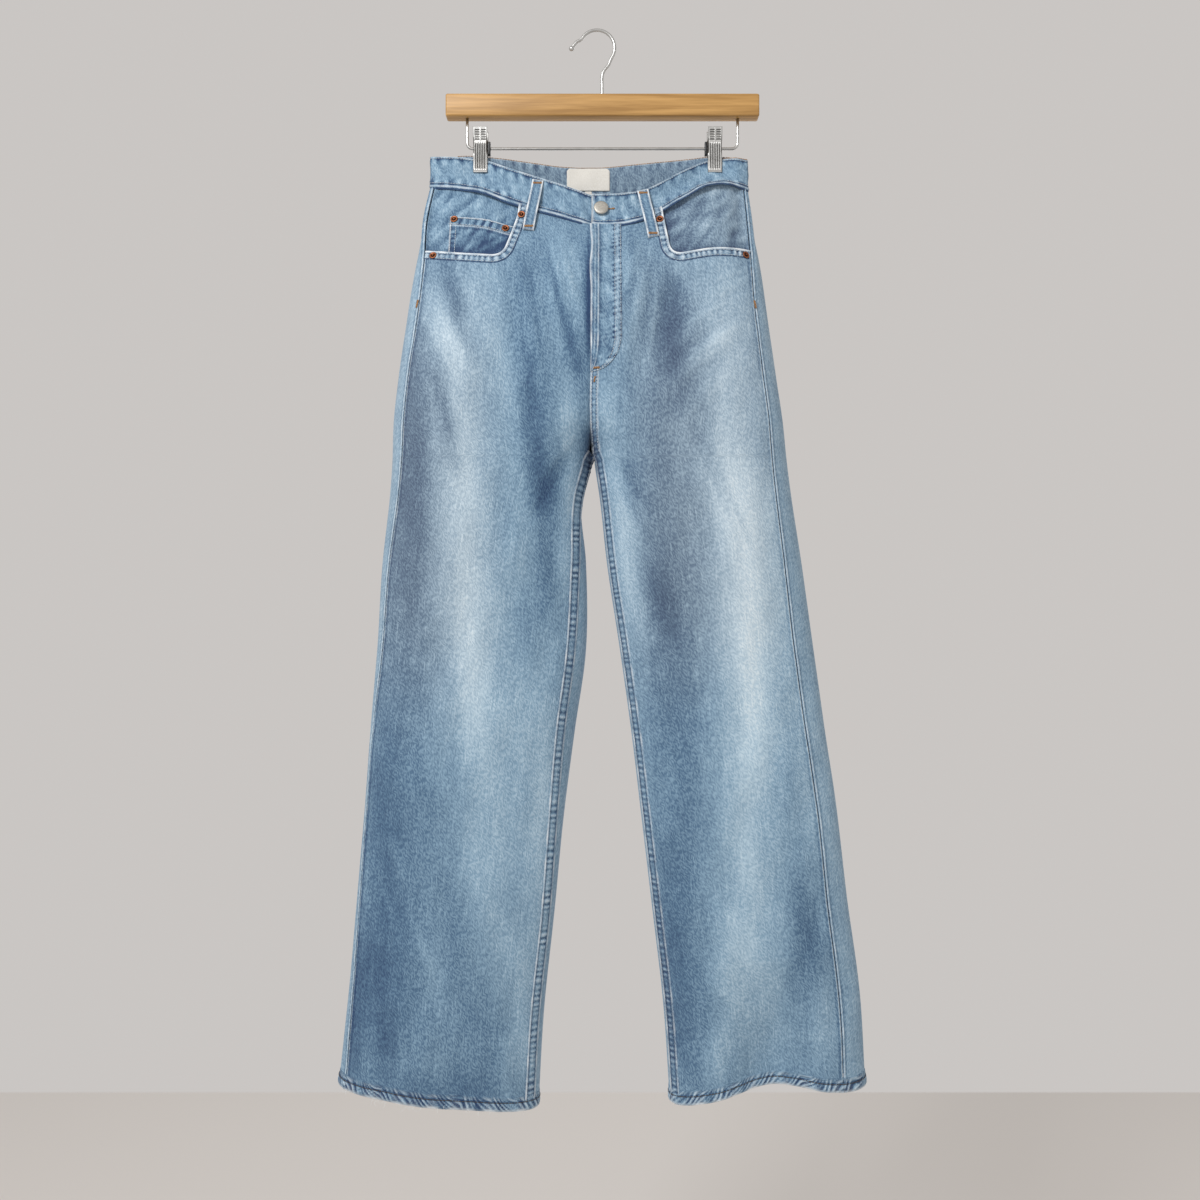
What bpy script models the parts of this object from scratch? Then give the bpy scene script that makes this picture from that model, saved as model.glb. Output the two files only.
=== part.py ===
"""Wide leg jeans hanging by the waistband from a wooden clip hanger.

Frame: +Z up, +X to the wearer's left, -Y towards the viewer of the front. The origin is the
inside top of the hanger's hook, where a rail or a wall hook carries it. All sizes are metres.

Each trouser panel is a loft: a row of the tables below gives one level section of a leg or of
half the body, a formula turns the row into a curve, and the rows are joined into an open
surface that Solidify makes a wall of cloth. The top rows are moved on to the waistband's seam
line, because the clips pinch the waist flat there while the hips below hang open.
"""
import math

import bmesh
import bpy
import numpy as np
from mathutils import Matrix, Vector
from mathutils.bvhtree import BVHTree

# Driving dimensions ---------------------------------------------------------------------------
CLOTH = 0.0012            # wall of a single panel of denim
BAND_CLOTH = 0.0024       # the waistband is folded double
SMALL_CLOTH = 0.0008      # wall of the coin pocket, the label and its tab
LOOP_CLOTH = 0.0016       # a belt loop is folded in three and pressed
SEAM_GAP = 0.0003         # between two pieces that are sewn edge to edge
PANEL_TRIM = 0.0004       # taken off each panel's edge, so that the walls stay 0.3 mm apart
LIE_GAP = 0.0005          # between a panel and a piece that lies on it

CENTRE_X = -0.0060        # the centre front seam hangs a little to the wearer's right
CROTCH_Z = -0.4900
YOKE_SIDE_Z = -0.2210     # the yoke seam at the side; it is lower at the centre back
BLEND_END_Z = -0.3300     # here the pull of the waistband has died away
WAIST_SIDE_Z = -0.1770    # waist seam at the side
HEM_SIDE_Z = -1.1790

# One row per level section. z: height at the side fold. drop_front, drop_back: how much lower
# the inner end is. side: side fold from the centre line. inner: inner end from it (0 = on it).
# mid_y: depth of the side fold. front, back: bulge before and behind mid_y. front_in, back_in:
# the same at the inner end. out_seam, in_seam: how far in front of its fold each seam shows.
COLUMNS = ("z", "drop_front", "drop_back", "side", "inner", "mid_y", "front", "back",
           "front_in", "back_in", "out_seam", "in_seam")
LEFT_HEM_LIFT = 0.013     # the buckled left hem rides up by this at its middle
HEM_LIFT_START_Z = -1.000
RIGHT_ROWS = [
    (-0.177, 0.052, 0.010, 0.180, 0.000, -0.003, 0.024, 0.014, 0.033, 0.018, 0.005, 0.0),
    (-0.221, 0.034, 0.037, 0.192, 0.000, -0.008, 0.032, 0.023, 0.044, 0.024, 0.010, 0.0),
    (-0.264, 0.022, 0.028, 0.197, 0.000, -0.016, 0.040, 0.031, 0.048, 0.030, 0.014, 0.0),
    (-0.330, 0.010, 0.014, 0.204, 0.000, -0.025, 0.051, 0.040, 0.050, 0.037, 0.016, 0.0),
    (-0.400, 0.002, 0.004, 0.213, 0.000, -0.031, 0.056, 0.047, 0.047, 0.040, 0.016, 0.0),
    (-0.450, 0.000, 0.001, 0.218, 0.001, -0.033, 0.057, 0.050, 0.033, 0.030, 0.016, 0.0),
    (-0.490, 0.000, 0.000, 0.219, 0.003, -0.034, 0.057, 0.051, 0.000, 0.000, 0.015, 0.001),
    (-0.530, 0.001, 0.001, 0.222, 0.011, -0.034, 0.056, 0.051, 0.000, 0.000, 0.014, 0.003),
    (-0.600, 0.004, 0.004, 0.230, 0.006, -0.033, 0.054, 0.049, 0.000, 0.000, 0.012, 0.011),
    (-0.690, 0.008, 0.008, 0.236, 0.006, -0.031, 0.051, 0.046, 0.000, 0.000, 0.010, 0.016),
    (-0.780, 0.012, 0.012, 0.244, 0.019, -0.029, 0.049, 0.044, 0.000, 0.000, 0.006, 0.015),
    (-0.870, 0.015, 0.015, 0.251, 0.031, -0.027, 0.047, 0.042, 0.000, 0.000, 0.005, 0.011),
    (-0.970, 0.018, 0.018, 0.260, 0.041, -0.025, 0.046, 0.041, 0.000, 0.000, 0.006, 0.009),
    (-1.080, 0.022, 0.022, 0.270, 0.053, -0.023, 0.044, 0.039, 0.000, 0.000, 0.008, 0.009),
    (-1.179, 0.026, 0.026, 0.281, 0.059, -0.022, 0.043, 0.038, 0.000, 0.000, 0.011, 0.009),
]
LEFT_ROWS = [
    (-0.177, 0.052, 0.010, 0.174, 0.000, -0.004, 0.026, 0.014, 0.033, 0.018, 0.006, 0.0),
    (-0.221, 0.034, 0.037, 0.182, 0.000, -0.010, 0.034, 0.023, 0.044, 0.024, 0.011, 0.0),
    (-0.264, 0.022, 0.028, 0.188, 0.000, -0.017, 0.042, 0.031, 0.048, 0.030, 0.014, 0.0),
    (-0.330, 0.010, 0.014, 0.195, 0.000, -0.025, 0.051, 0.040, 0.050, 0.037, 0.017, 0.0),
    (-0.400, 0.002, 0.004, 0.204, 0.000, -0.031, 0.056, 0.047, 0.047, 0.040, 0.019, 0.0),
    (-0.450, 0.000, 0.001, 0.211, 0.000, -0.033, 0.057, 0.050, 0.033, 0.030, 0.020, 0.0),
    (-0.490, 0.000, 0.000, 0.215, 0.003, -0.034, 0.057, 0.051, 0.000, 0.000, 0.021, 0.001),
    (-0.530, 0.001, 0.001, 0.220, 0.009, -0.034, 0.056, 0.051, 0.000, 0.000, 0.022, 0.001),
    (-0.600, 0.003, 0.003, 0.231, 0.017, -0.033, 0.054, 0.049, 0.000, 0.000, 0.024, 0.001),
    (-0.690, 0.006, 0.006, 0.244, 0.031, -0.031, 0.051, 0.046, 0.000, 0.000, 0.026, 0.001),
    (-0.780, 0.009, 0.009, 0.257, 0.044, -0.029, 0.049, 0.044, 0.000, 0.000, 0.026, 0.001),
    (-0.870, 0.011, 0.011, 0.271, 0.055, -0.027, 0.047, 0.042, 0.000, 0.000, 0.026, 0.001),
    (-0.970, 0.013, 0.013, 0.283, 0.067, -0.025, 0.046, 0.041, 0.000, 0.000, 0.027, 0.001),
    (-1.080, 0.016, 0.016, 0.298, 0.080, -0.024, 0.044, 0.039, 0.000, 0.000, 0.028, 0.001),
    (-1.179, 0.020, 0.020, 0.304, 0.087, -0.024, 0.043, 0.038, 0.000, 0.000, 0.029, 0.001),
]
CREST = 0.42              # the fullest point, as a share of the way from side to inner end
SQUARENESS = 2.35         # exponent of the superellipse arcs (2 is an ellipse)

# The waistband's outer face, from the wearer's right side over the front to the left side.
# It is pinched flat where the two clips bite and bows open between them.
BAND_COLUMNS = ("x", "top_y", "top_z", "seam_y", "seam_z")
FRONT_BAND = [
    (-0.1890, 0.0000, -0.1416, -0.0020, -0.1764),
    (-0.1603, -0.0060, -0.1435, -0.0100, -0.1800),
    (-0.1430, -0.0032, -0.1445, -0.0135, -0.1830),
    (-0.1324, -0.0031, -0.1450, -0.0160, -0.1855),
    (-0.1215, -0.0034, -0.1475, -0.0190, -0.1895),
    (-0.1092, -0.0100, -0.1540, -0.0220, -0.1955),
    (-0.0749, -0.0190, -0.1680, -0.0290, -0.2085),
    (-0.0412, -0.0250, -0.1803, -0.0340, -0.2190),
    (-0.0060, -0.0280, -0.1920, -0.0370, -0.2290),
    (0.0167, -0.0290, -0.1926, -0.0380, -0.2300),
    (0.0535, -0.0250, -0.1862, -0.0360, -0.2222),
    (0.0932, -0.0140, -0.1635, -0.0320, -0.1995),
    (0.1225, -0.0034, -0.1480, -0.0270, -0.1825),
    (0.1335, -0.0031, -0.1455, -0.0250, -0.1800),
    (0.1440, -0.0032, -0.1450, -0.0225, -0.1792),
    (0.1580, -0.0060, -0.1453, -0.0150, -0.1797),
    (0.1712, 0.0000, -0.1455, -0.0050, -0.1811),
]
BACK_BAND = [
    (-0.1890, 0.0000, -0.1416, -0.0020, -0.1764),
    (-0.1617, 0.0060, -0.1398, 0.0080, -0.1772),
    (-0.1430, 0.0032, -0.1405, 0.0065, -0.1779),
    (-0.1329, 0.0031, -0.1412, 0.0070, -0.1785),
    (-0.1210, 0.0034, -0.1420, 0.0078, -0.1793),
    (-0.0765, 0.0100, -0.1455, 0.0120, -0.1830),
    (-0.0424, 0.0140, -0.1488, 0.0155, -0.1863),
    (-0.0060, 0.0158, -0.1496, 0.0172, -0.1871),
    (0.0606, 0.0120, -0.1453, 0.0140, -0.1828),
    (0.1060, 0.0070, -0.1426, 0.0100, -0.1800),
    (0.1225, 0.0034, -0.1418, 0.0078, -0.1792),
    (0.1341, 0.0031, -0.1415, 0.0070, -0.1790),
    (0.1440, 0.0032, -0.1416, 0.0066, -0.1791),
    (0.1570, 0.0060, -0.1420, 0.0070, -0.1795),
    (0.1712, 0.0000, -0.1455, -0.0050, -0.1811),
]
BAND_FLARE = 3.0          # the band hangs straight from its top edge, then flares to the seam
UNDERLAP = 0.024          # how far the right end of the waistband runs on under the left end
STEP_LENGTH = 0.014       # over this length it steps inwards by its own thickness

# The largest folds, as soft ridges (height above 0) and troughs, in the front view.
FOLD_COLUMNS = ("x0", "z0", "x1", "z1", "width", "height")
FRONT_FOLDS = [
    (-0.095, -0.275, -0.075, -0.480, 0.024, -0.0060),   # trough below the right pocket
    (-0.170, -0.300, -0.150, -0.700, 0.034, 0.0045),    # crease ridge down the right thigh
    (-0.052, -0.235, -0.016, -0.400, 0.017, 0.0050),    # fan of two ridges beside the fly
    (-0.074, -0.245, -0.050, -0.430, 0.016, 0.0035),
    (0.046, -0.245, 0.016, -0.400, 0.017, 0.0045),
    (0.080, -0.285, 0.060, -0.420, 0.022, -0.0055),     # trough below the left pocket
    (0.129, -0.185, 0.126, -0.262, 0.020, 0.0050),      # ridge that falls from the left clip
    (0.155, -0.420, 0.150, -0.800, 0.034, 0.0050),      # crease ridge down the left thigh
    (0.085, -0.520, 0.125, -0.860, 0.030, -0.0060),     # trough along the left inner thigh
    (0.190, -1.060, 0.195, -1.260, 0.045, -0.0230),     # the left hem buckles inwards
    (-0.185, -1.040, -0.180, -1.260, 0.040, 0.0050),
    (-0.205, -0.760, -0.250, -1.150, 0.026, -0.0050),   # trough down the right shin
]
FOLD_FADE = 0.020         # folds fade out over this depth towards the side folds
FOLD_END_POWER = 0.7      # below 1, a fold keeps its height for most of its length
BACK_FOLDS = [
    (-0.110, -0.440, -0.060, -0.560, 0.030, -0.0070),   # slack cloth under the seat
    (0.100, -0.440, 0.055, -0.560, 0.030, -0.0070),
    (-0.150, -0.560, -0.170, -1.000, 0.036, -0.0050),
    (0.140, -0.560, 0.175, -1.000, 0.036, -0.0050),
]

# Heights of the rows of faces, at the side fold.
TORSO_LEVELS = [-0.177, -0.190, -0.205, -0.221, -0.240, -0.262, -0.287, -0.315, -0.345, -0.375,
                -0.405, -0.432, -0.455, -0.472, -0.484, -0.490]
LEG_LEVELS = [-0.490, -0.505, -0.530, -0.565, -0.610, -0.665, -0.725, -0.790, -0.855, -0.920,
              -0.985, -1.045, -1.095, -1.140, -1.179]
FRONT_SHARES = [0.0, 0.03, 0.08, 0.16, 0.25, 0.34, 0.43, 0.52, 0.61, 0.70, 0.79, 0.87, 0.93, 0.97,
                1.0]
BACK_SHARES = [0.0, 0.03, 0.06, 0.10, 0.16, 0.24, 0.34, 0.46, 0.58, 0.70, 0.82, 0.90, 0.95, 0.98,
               1.0]
POCKET_SHARES = (6, 10)   # the back pocket lies between these two of the back panel's lines

# Front pockets, in the front view: the mouth runs from the side seam to the waist seam.
MOUTH_RIGHT = [(-0.176, -0.2600), (-0.144, -0.2645), (-0.104, -0.2680), (-0.0885, -0.2190)]
MOUTH_LEFT = [(0.156, -0.2590), (0.128, -0.2595), (0.0815, -0.2680), (0.0735, -0.2190)]
MOUTH_RADIUS = 0.012
MOUTH_REACH = 0.060       # how far past the side and the waist the cut is carried
CUT_DEPTHS = (-0.200, 0.100)   # every cut runs from before the cloth to behind it
RAY_START = 0.400         # places on the cloth are looked up from this far away
FACING_ROWS = 7           # the facing behind the mouth takes this many rows of the panel
FACING_SHARES = 8
FACING_TRIM = 0.0022      # it stays this far inside the waist seam and the side seam
COIN_LEFT = -0.1645
COIN_TOP = [(-0.1645, -0.2150), (-0.1250, -0.2205), (-0.0955, -0.2290)]
COIN_CLEAR = 0.0009       # the coin pocket ends this far inside the mouth
COIN_SPARE = 0.004        # its cloth is laid this much too high and too low, then cut
COIN_GRID = (7, 8)        # rows and columns

# Fly, back pockets, loops, label
FLY_WIDTH = 0.0335
FLY_GAP = 0.0009          # clears the ridges of the panel that it crosses
FLY_TOP_Z = -0.2330
FLY_END_Z = -0.4000
FLY_CURVE = 0.040         # length over which the stitched edge curves back to the seam
FLY_SHARES = [1.0, 0.66, 0.33, 0.0]
BACK_POCKET_TOP = 0.016   # below the yoke seam
BACK_POCKET_SIDE = 0.128  # length of its side edge
BACK_POCKET_POINT = 0.024
BACK_POCKET_ROWS = 7
LOOP_WIDTH = 0.0125
LOOP_REACH = 0.0030       # a loop clears the highest cloth within this distance
LOOP_BOW = 0.0012         # and stands this much further off at its middle
LOOP_ROWS = 9
LOOP_COLUMNS = ("name", "x_top", "z_top", "x_end", "z_end", "facing")
LOOPS = [
    ("belt_loop_front_right", -0.0656, -0.1755, -0.0757, -0.2365, -1),
    ("belt_loop_front_left", 0.0508, -0.1880, 0.0622, -0.2465, -1),
    ("belt_loop_side_right", -0.1660, -0.1440, -0.1720, -0.2050, 1),
    ("belt_loop_side_left", 0.1520, -0.1450, 0.1570, -0.2070, 1),
    ("belt_loop_back", -0.0060, -0.1520, -0.0060, -0.2120, 1),
]
LABEL_SIZE = (0.0490, 0.0252)
LABEL_CENTRE = (-0.0100, -0.1634)
TAB_SIZE = (0.0080, 0.0070)
TAB_CENTRE = (-0.0100, -0.1802)
LABEL_GRID = (4, 5)       # rows and columns
INSIDE_Y = -0.0050        # a depth between the front and the back of the waistband

# Metal trim
BUTTON_RADIUS = 0.0083
BUTTON_AT = (0.0045, -0.2105)
# Profiles: share of the radius, height above the cloth.
BUTTON_PROFILE = [(0, 0), (0.42, 0), (0.42, 0.0012), (0.9, 0.0014), (1, 0.0020), (1, 0.0027),
                  (0.9, 0.0034), (0.5, 0.0037), (0, 0.0038)]
RIVET_RADIUS = 0.0043
RIVET_PROFILE = [(0, 0), (0.9, 0), (1, 0.0004), (0.86, 0.0012), (0.45, 0.0013), (0.3, 0.0018),
                 (0, 0.0019)]
RIVETS = [
    ("rivet_right_side", -0.1800, -0.2655),
    ("rivet_right_waist", -0.0835, -0.2170),
    ("rivet_coin_outer", -0.1590, -0.2200),
    ("rivet_coin_inner", -0.1010, -0.2335),
    ("rivet_left_waist", 0.0695, -0.2245),
    ("rivet_left_side", 0.1630, -0.2660),
]

# Hanger
BAR_SIZE = (0.3540, 0.0185, 0.0255)
BAR_CENTRE = (0.0062, 0.0005, -0.0856)
BAR_EDGE = 0.0014
HOOK_WIRE = 0.0019        # radius
HOOK_RADIUS = 0.0201      # centre line of the round part
HOOK_TIP = [(-0.0270, -0.0165), (-0.0235, -0.0120)]
HOOK_ARC = (150, -34)     # degrees from +X towards +Z
HOOK_NECK = [(0.0125, -0.0385), (0.0084, -0.0435), (0.0066, -0.0470), (0.0058, -0.0510)]
BALL_RADIUS = 0.0028
BALL_CENTRE = (-0.0288, 0.0, -0.0191)
STEM_X = 0.0058
TRAPEZE_WIRE = 0.00165    # radius
TRAPEZE_HALF = 0.1532
TRAPEZE_Z = -0.1326
TRAPEZE_BEND = 0.0065
CLIP_WIDTH = 0.0160
CLIP_PLATE = 0.0011
CLIPS = [("clip_right", -0.1318), ("clip_left", 0.1332)]
CLIP_TOP_Z = -0.1105
CLIP_END_Z = -0.1610
SPRING_RADIUS = 0.0033
SPRING_LENGTH = 0.0110
# One jaw's outer face, from its splayed top to its lip: half the distance between the two jaws,
# and the height.
JAW_PROFILE = [
    (0.0135, CLIP_TOP_Z),
    (0.0100, (CLIP_TOP_Z + TRAPEZE_Z) / 2),
    (SPRING_RADIUS + SEAM_GAP + CLIP_PLATE, TRAPEZE_Z + 0.0035),
    (SPRING_RADIUS + SEAM_GAP + CLIP_PLATE, TRAPEZE_Z - 0.0035),
    (0.0062, TRAPEZE_Z - 0.0100),
    (0.0050, CLIP_END_Z + 0.0130),
    (0.0062, CLIP_END_Z + 0.0050),
    (0.0085, CLIP_END_Z),
]

GRID_FINE = 90            # points of each section curve before it is resampled


# Tables and curves ----------------------------------------------------------------------------
def smooth_through(places, values, wanted):
    """A cubic curve through the points (places, values), with slopes from their neighbours."""
    places = np.asarray(places, float)
    values = np.asarray(values, float)
    order = np.argsort(places)
    places, values = places[order], values[order]
    slopes = np.gradient(values, places)
    index = np.clip(np.searchsorted(places, wanted) - 1, 0, len(places) - 2)
    span = places[index + 1] - places[index]
    t = (np.asarray(wanted, float) - places[index]) / span
    start, end = values[index], values[index + 1]
    return ((2 * t**3 - 3 * t**2 + 1) * start + (t**3 - 2 * t**2 + t) * span * slopes[index]
            + (3 * t**2 - 2 * t**3) * end + (t**3 - t**2) * span * slopes[index + 1])


def read_row(rows, z):
    """One section's named values at height z, between the rows of the table."""
    table = np.array(rows)
    return {name: float(smooth_through(table[:, 0], table[:, i], z))
            for i, name in enumerate(COLUMNS)}


def arc_section(row, side, bulge, inner_bulge):
    """Half a section from the side fold to the inner end, as a superellipse arc to the crest
    and a second one on to the inner end. side is -1 for the wearer's right and +1 for the left;
    a negative bulge lies towards the front."""
    x_side = CENTRE_X + side * row["side"]
    x_inner = CENTRE_X + side * row["inner"]
    x_crest = x_side + (x_inner - x_side) * CREST
    power = 2 / SQUARENESS
    angle = np.linspace(0, math.pi / 2, GRID_FINE)
    x_outer = x_crest + (x_side - x_crest) * np.cos(angle).clip(0)**power
    y_outer = bulge * np.sin(angle)**power
    x_last = x_crest + (x_inner - x_crest) * np.sin(angle)**power
    y_last = inner_bulge + (bulge - inner_bulge) * np.cos(angle).clip(0)**power
    x = np.concatenate([x_outer, x_last[1:]])
    y = row["mid_y"] + np.concatenate([y_outer, y_last[1:]])
    return x, y


def section_curves(rows, side, z):
    """The front and back halves of one section, each as points with x, y and z."""
    row = read_row(rows, z)
    curves = []
    for bulge, inner, drop in ((-row["front"], -row["front_in"], row["drop_front"]),
                               (row["back"], row["back_in"], row["drop_back"])):
        x, y = arc_section(row, side, bulge, inner)
        share = (x - x[0]) / (x[-1] - x[0])
        low = np.clip((HEM_LIFT_START_Z - z) / (HEM_LIFT_START_Z - HEM_SIDE_Z), 0, 1)
        lift = LEFT_HEM_LIFT * low**2 * np.sin(math.pi * share)**2 if bulge * side < 0 else 0
        curves.append(np.column_stack([x, y, z - drop * share + lift]))
    return curves[0], curves[1], row


def band_curves(side, edge):
    """The front and back halves of the waistband's top or seam line, from the side fold."""
    curves = []
    column = [BAND_COLUMNS.index(edge + axis) for axis in ("_y", "_z")]
    for table in (np.array(FRONT_BAND), np.array(BACK_BAND)):
        run = np.cumsum(np.r_[0, np.hypot(*np.diff(table[:, [0, column[0]]], axis=0).T)])
        centre = np.interp(CENTRE_X, table[:, 0], run)
        start = 0 if side < 0 else run[-1]
        fine = np.linspace(start, centre, 2 * GRID_FINE - 1)
        curves.append(np.column_stack([smooth_through(run, table[:, i], fine)
                                       for i in (0, *column)]))
    return curves[0], curves[1]


def split_at(curve, inset):
    """Cut a curve where its x is inset from its first point."""
    travelled = np.maximum.accumulate(np.abs(curve[:, 0] - curve[0, 0]))
    index = int(np.clip(np.searchsorted(travelled, inset), 1, len(curve) - 1))
    span = travelled[index] - travelled[index - 1]
    t = (inset - travelled[index - 1]) / span if span > 0 else 0.0
    cut = curve[index - 1] + (curve[index] - curve[index - 1]) * min(max(t, 0.0), 1.0)
    return np.vstack([curve[:index], cut]), np.vstack([cut, curve[index:]])


def panel_path(front, back, row, panel, is_leg):
    """The curve that one panel covers: the front panel lies between the seams, and the back
    panel runs round both folds as far as the seams."""
    outer, rest = split_at(front, row["out_seam"])
    if not is_leg:
        return rest if panel == "front" else np.vstack([outer[::-1], back[1:]])
    inner, middle = split_at(rest[::-1], row["in_seam"])
    if panel == "front":
        return middle[::-1]
    return np.vstack([outer[::-1], back[1:], inner[1:]])


def resample(curve, shares):
    """Points at the given shares of a curve's length, its two ends trimmed for the seams."""
    run = np.cumsum(np.r_[0, np.linalg.norm(np.diff(curve, axis=0), axis=1)])
    wanted = PANEL_TRIM + np.asarray(shares) * (run[-1] - 2 * PANEL_TRIM)
    return np.column_stack([np.interp(wanted, run, curve[:, i]) for i in range(3)])


def fold_depth(x, z, folds):
    """Sum of the soft folds: a bell across each fold, fading out at its two ends."""
    total = np.zeros_like(x)
    for values in folds:
        fold = dict(zip(FOLD_COLUMNS, values))
        run = np.array([fold["x1"] - fold["x0"], fold["z1"] - fold["z0"]])
        length = np.hypot(*run)
        run /= length
        along = ((x - fold["x0"]) * run[0] + (z - fold["z0"]) * run[1]) / length
        across = (x - fold["x0"]) * run[1] - (z - fold["z0"]) * run[0]
        fade = np.sin(np.clip(along, 0, 1) * math.pi)**FOLD_END_POWER
        total += fold["height"] * fade * np.exp(-(across / fold["width"])**2)
    return total


def panel_grid(rows, side, panel, levels, shares):
    """The outer surface of one panel as an array of rows x columns x (x, y, z)."""
    seam = band_curves(side, "seam")
    waist = read_row(rows, WAIST_SIDE_Z)
    sewn = resample(panel_path(*seam, waist, panel, False), shares)
    plain = section_curves(rows, side, WAIST_SIDE_Z)
    plain = resample(panel_path(*plain, panel, False), shares)
    grid = []
    for z in levels:
        is_leg = z <= CROTCH_Z
        front, back, row = section_curves(rows, side, z)
        points = resample(panel_path(front, back, row, panel, is_leg), shares)
        pull = np.clip((z - BLEND_END_Z) / (WAIST_SIDE_Z - BLEND_END_Z), 0, 1)
        points = points + (sewn - plain) * pull**2 * (3 - 2 * pull)
        loose = np.clip((WAIST_SIDE_Z - z) / FOLD_FADE, 0, 1)
        forward = np.clip((row["mid_y"] - points[:, 1]) / FOLD_FADE, -1, 1) * loose
        x, height = points[:, 0], points[:, 2]
        points[:, 1] -= (fold_depth(x, height, FRONT_FOLDS) * forward.clip(0, 1)
                         + fold_depth(x, height, BACK_FOLDS) * forward.clip(-1, 0))
        grid.append(points)
    return np.array(grid)


def grid_normals(grid):
    """Unit normals of a grid, from the run of its columns and rows."""
    along = np.gradient(grid, axis=1)
    down = np.gradient(grid, axis=0)
    normal = np.cross(down, along)
    return normal / np.linalg.norm(normal, axis=2, keepdims=True)


# Objects --------------------------------------------------------------------------------------
def material(name, hex_colour, roughness, metallic=0.0):
    """A Principled material from an sRGB hex colour."""
    found = bpy.data.materials.get(name)
    if found:
        return found
    channels = [int(hex_colour[i:i + 2], 16) / 255 for i in (0, 2, 4)]
    linear = [c / 12.92 if c <= 0.04045 else ((c + 0.055) / 1.055)**2.4 for c in channels]
    made = bpy.data.materials.new(name)
    made.use_nodes = True
    shader = made.node_tree.nodes["Principled BSDF"]
    shader.inputs["Base Color"].default_value = (*linear, 1)
    shader.inputs["Roughness"].default_value = roughness
    shader.inputs["Metallic"].default_value = metallic
    return made


def add_object(name, mesh, finish, collection):
    piece = bpy.data.objects.new(name, mesh)
    collection.objects.link(piece)
    mesh.materials.append(finish)
    return piece


def surface_mesh(name, grid):
    """An open mesh of quads through a grid of points, its faces towards grid_normals."""
    count_rows, count_columns = grid.shape[:2]
    index = np.arange(count_rows * count_columns).reshape(count_rows, count_columns)
    faces = np.stack([index[:-1, :-1], index[1:, :-1], index[1:, 1:], index[:-1, 1:]], axis=-1)
    mesh = bpy.data.meshes.new(name)
    mesh.from_pydata(grid.reshape(-1, 3).tolist(), [], faces.reshape(-1, 4).tolist())
    mesh.update()
    return mesh


def cloth(name, grid, thickness, finish, collection):
    """A wall of cloth: the grid is its outer face and Solidify adds the inside."""
    piece = add_object(name, surface_mesh(name, grid), finish, collection)
    wall = piece.modifiers.new("wall", "SOLIDIFY")
    wall.thickness = thickness
    wall.offset = -1
    return piece


def facing_out(grid, side, panel):
    """Put the columns in the order that turns the normals outwards."""
    flip = (side < 0) == (panel == "back")
    return grid[:, ::-1] if flip else grid


def prism(name, outline, y_range, collection):
    """A closed outline in the front view, carried through y_range, as a hidden cutter."""
    shape = bmesh.new()
    near = [shape.verts.new((x, y_range[0], z)) for x, z in outline]
    shape.faces.new(near)
    made = bmesh.ops.extrude_face_region(shape, geom=shape.faces[:])
    moved = [v for v in made["geom"] if isinstance(v, bmesh.types.BMVert)]
    bmesh.ops.translate(shape, vec=(0, y_range[1] - y_range[0], 0), verts=moved)
    bmesh.ops.recalc_face_normals(shape, faces=shape.faces[:])
    mesh = bpy.data.meshes.new(name)
    shape.to_mesh(mesh)
    shape.free()
    cutter = bpy.data.objects.new(name, mesh)
    collection.objects.link(cutter)
    cutter.hide_render = True
    cutter.display_type = "WIRE"
    return cutter


def cut(piece, cutter, operation):
    step = piece.modifiers.new("cut_" + cutter.name, "BOOLEAN")
    step.operation = operation
    step.object = cutter
    step.solver = "EXACT"


def rounded_line(points, radius, steps=5):
    """A line of straight runs with its inner corners rounded by arcs of the given radius."""
    points = [np.array(p, float) for p in points]
    line = [points[0]]
    for before, corner, after in zip(points, points[1:], points[2:]):
        back = (before - corner) / np.linalg.norm(before - corner)
        ahead = (after - corner) / np.linalg.norm(after - corner)
        half = math.acos(np.clip(back @ ahead, -1, 1)) / 2
        reach = radius / math.tan(half)
        if math.pi / 2 - half < 0.15:
            line.append(corner)
            continue
        centre = corner + (back + ahead) / np.linalg.norm(back + ahead) * radius / math.sin(half)
        first, last = corner + back * reach - centre, corner + ahead * reach - centre
        turn = math.atan2(first[0] * last[1] - first[1] * last[0], first @ last)
        for step in range(steps + 1):
            a = turn * step / steps
            spin = np.array([[math.cos(a), -math.sin(a)], [math.sin(a), math.cos(a)]])
            line.append(centre + spin @ first)
    line.append(points[-1])
    return line


def evaluated_tree(pieces):
    """A search tree over the finished surfaces of some pieces."""
    graph = bpy.context.evaluated_depsgraph_get()
    points, faces = [], []
    for piece in pieces:
        mesh = piece.evaluated_get(graph).to_mesh()
        start = len(points)
        points += [piece.matrix_world @ v.co for v in mesh.vertices]
        faces += [[start + i for i in face.vertices] for face in mesh.polygons]
        piece.evaluated_get(graph).to_mesh_clear()
    return BVHTree.FromPolygons(points, faces)


def surface_at(tree, x, z, facing):
    """The first surface met from the front (facing -1) or from behind (+1)."""
    start = Vector((x, facing * RAY_START, z))
    hit, normal, _, _ = tree.ray_cast(start, Vector((0, -facing, 0)))
    if hit and normal.y * facing < 0:
        normal = -normal
    return hit, normal


def turned(name, profile, finish, collection, segments):
    """A solid of revolution round Z: the profile is radius and height, from bottom to top."""
    mesh = bpy.data.meshes.new(name)
    points = [(radius, 0, height) for radius, height in profile[::-1]]
    mesh.from_pydata(points, [(i, i + 1) for i in range(len(points) - 1)], [])
    piece = add_object(name, mesh, finish, collection)
    spin = piece.modifiers.new("turn", "SCREW")
    spin.steps = segments
    spin.render_steps = segments
    spin.use_merge_vertices = True
    spin.merge_threshold = 0.00001
    return piece


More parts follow.
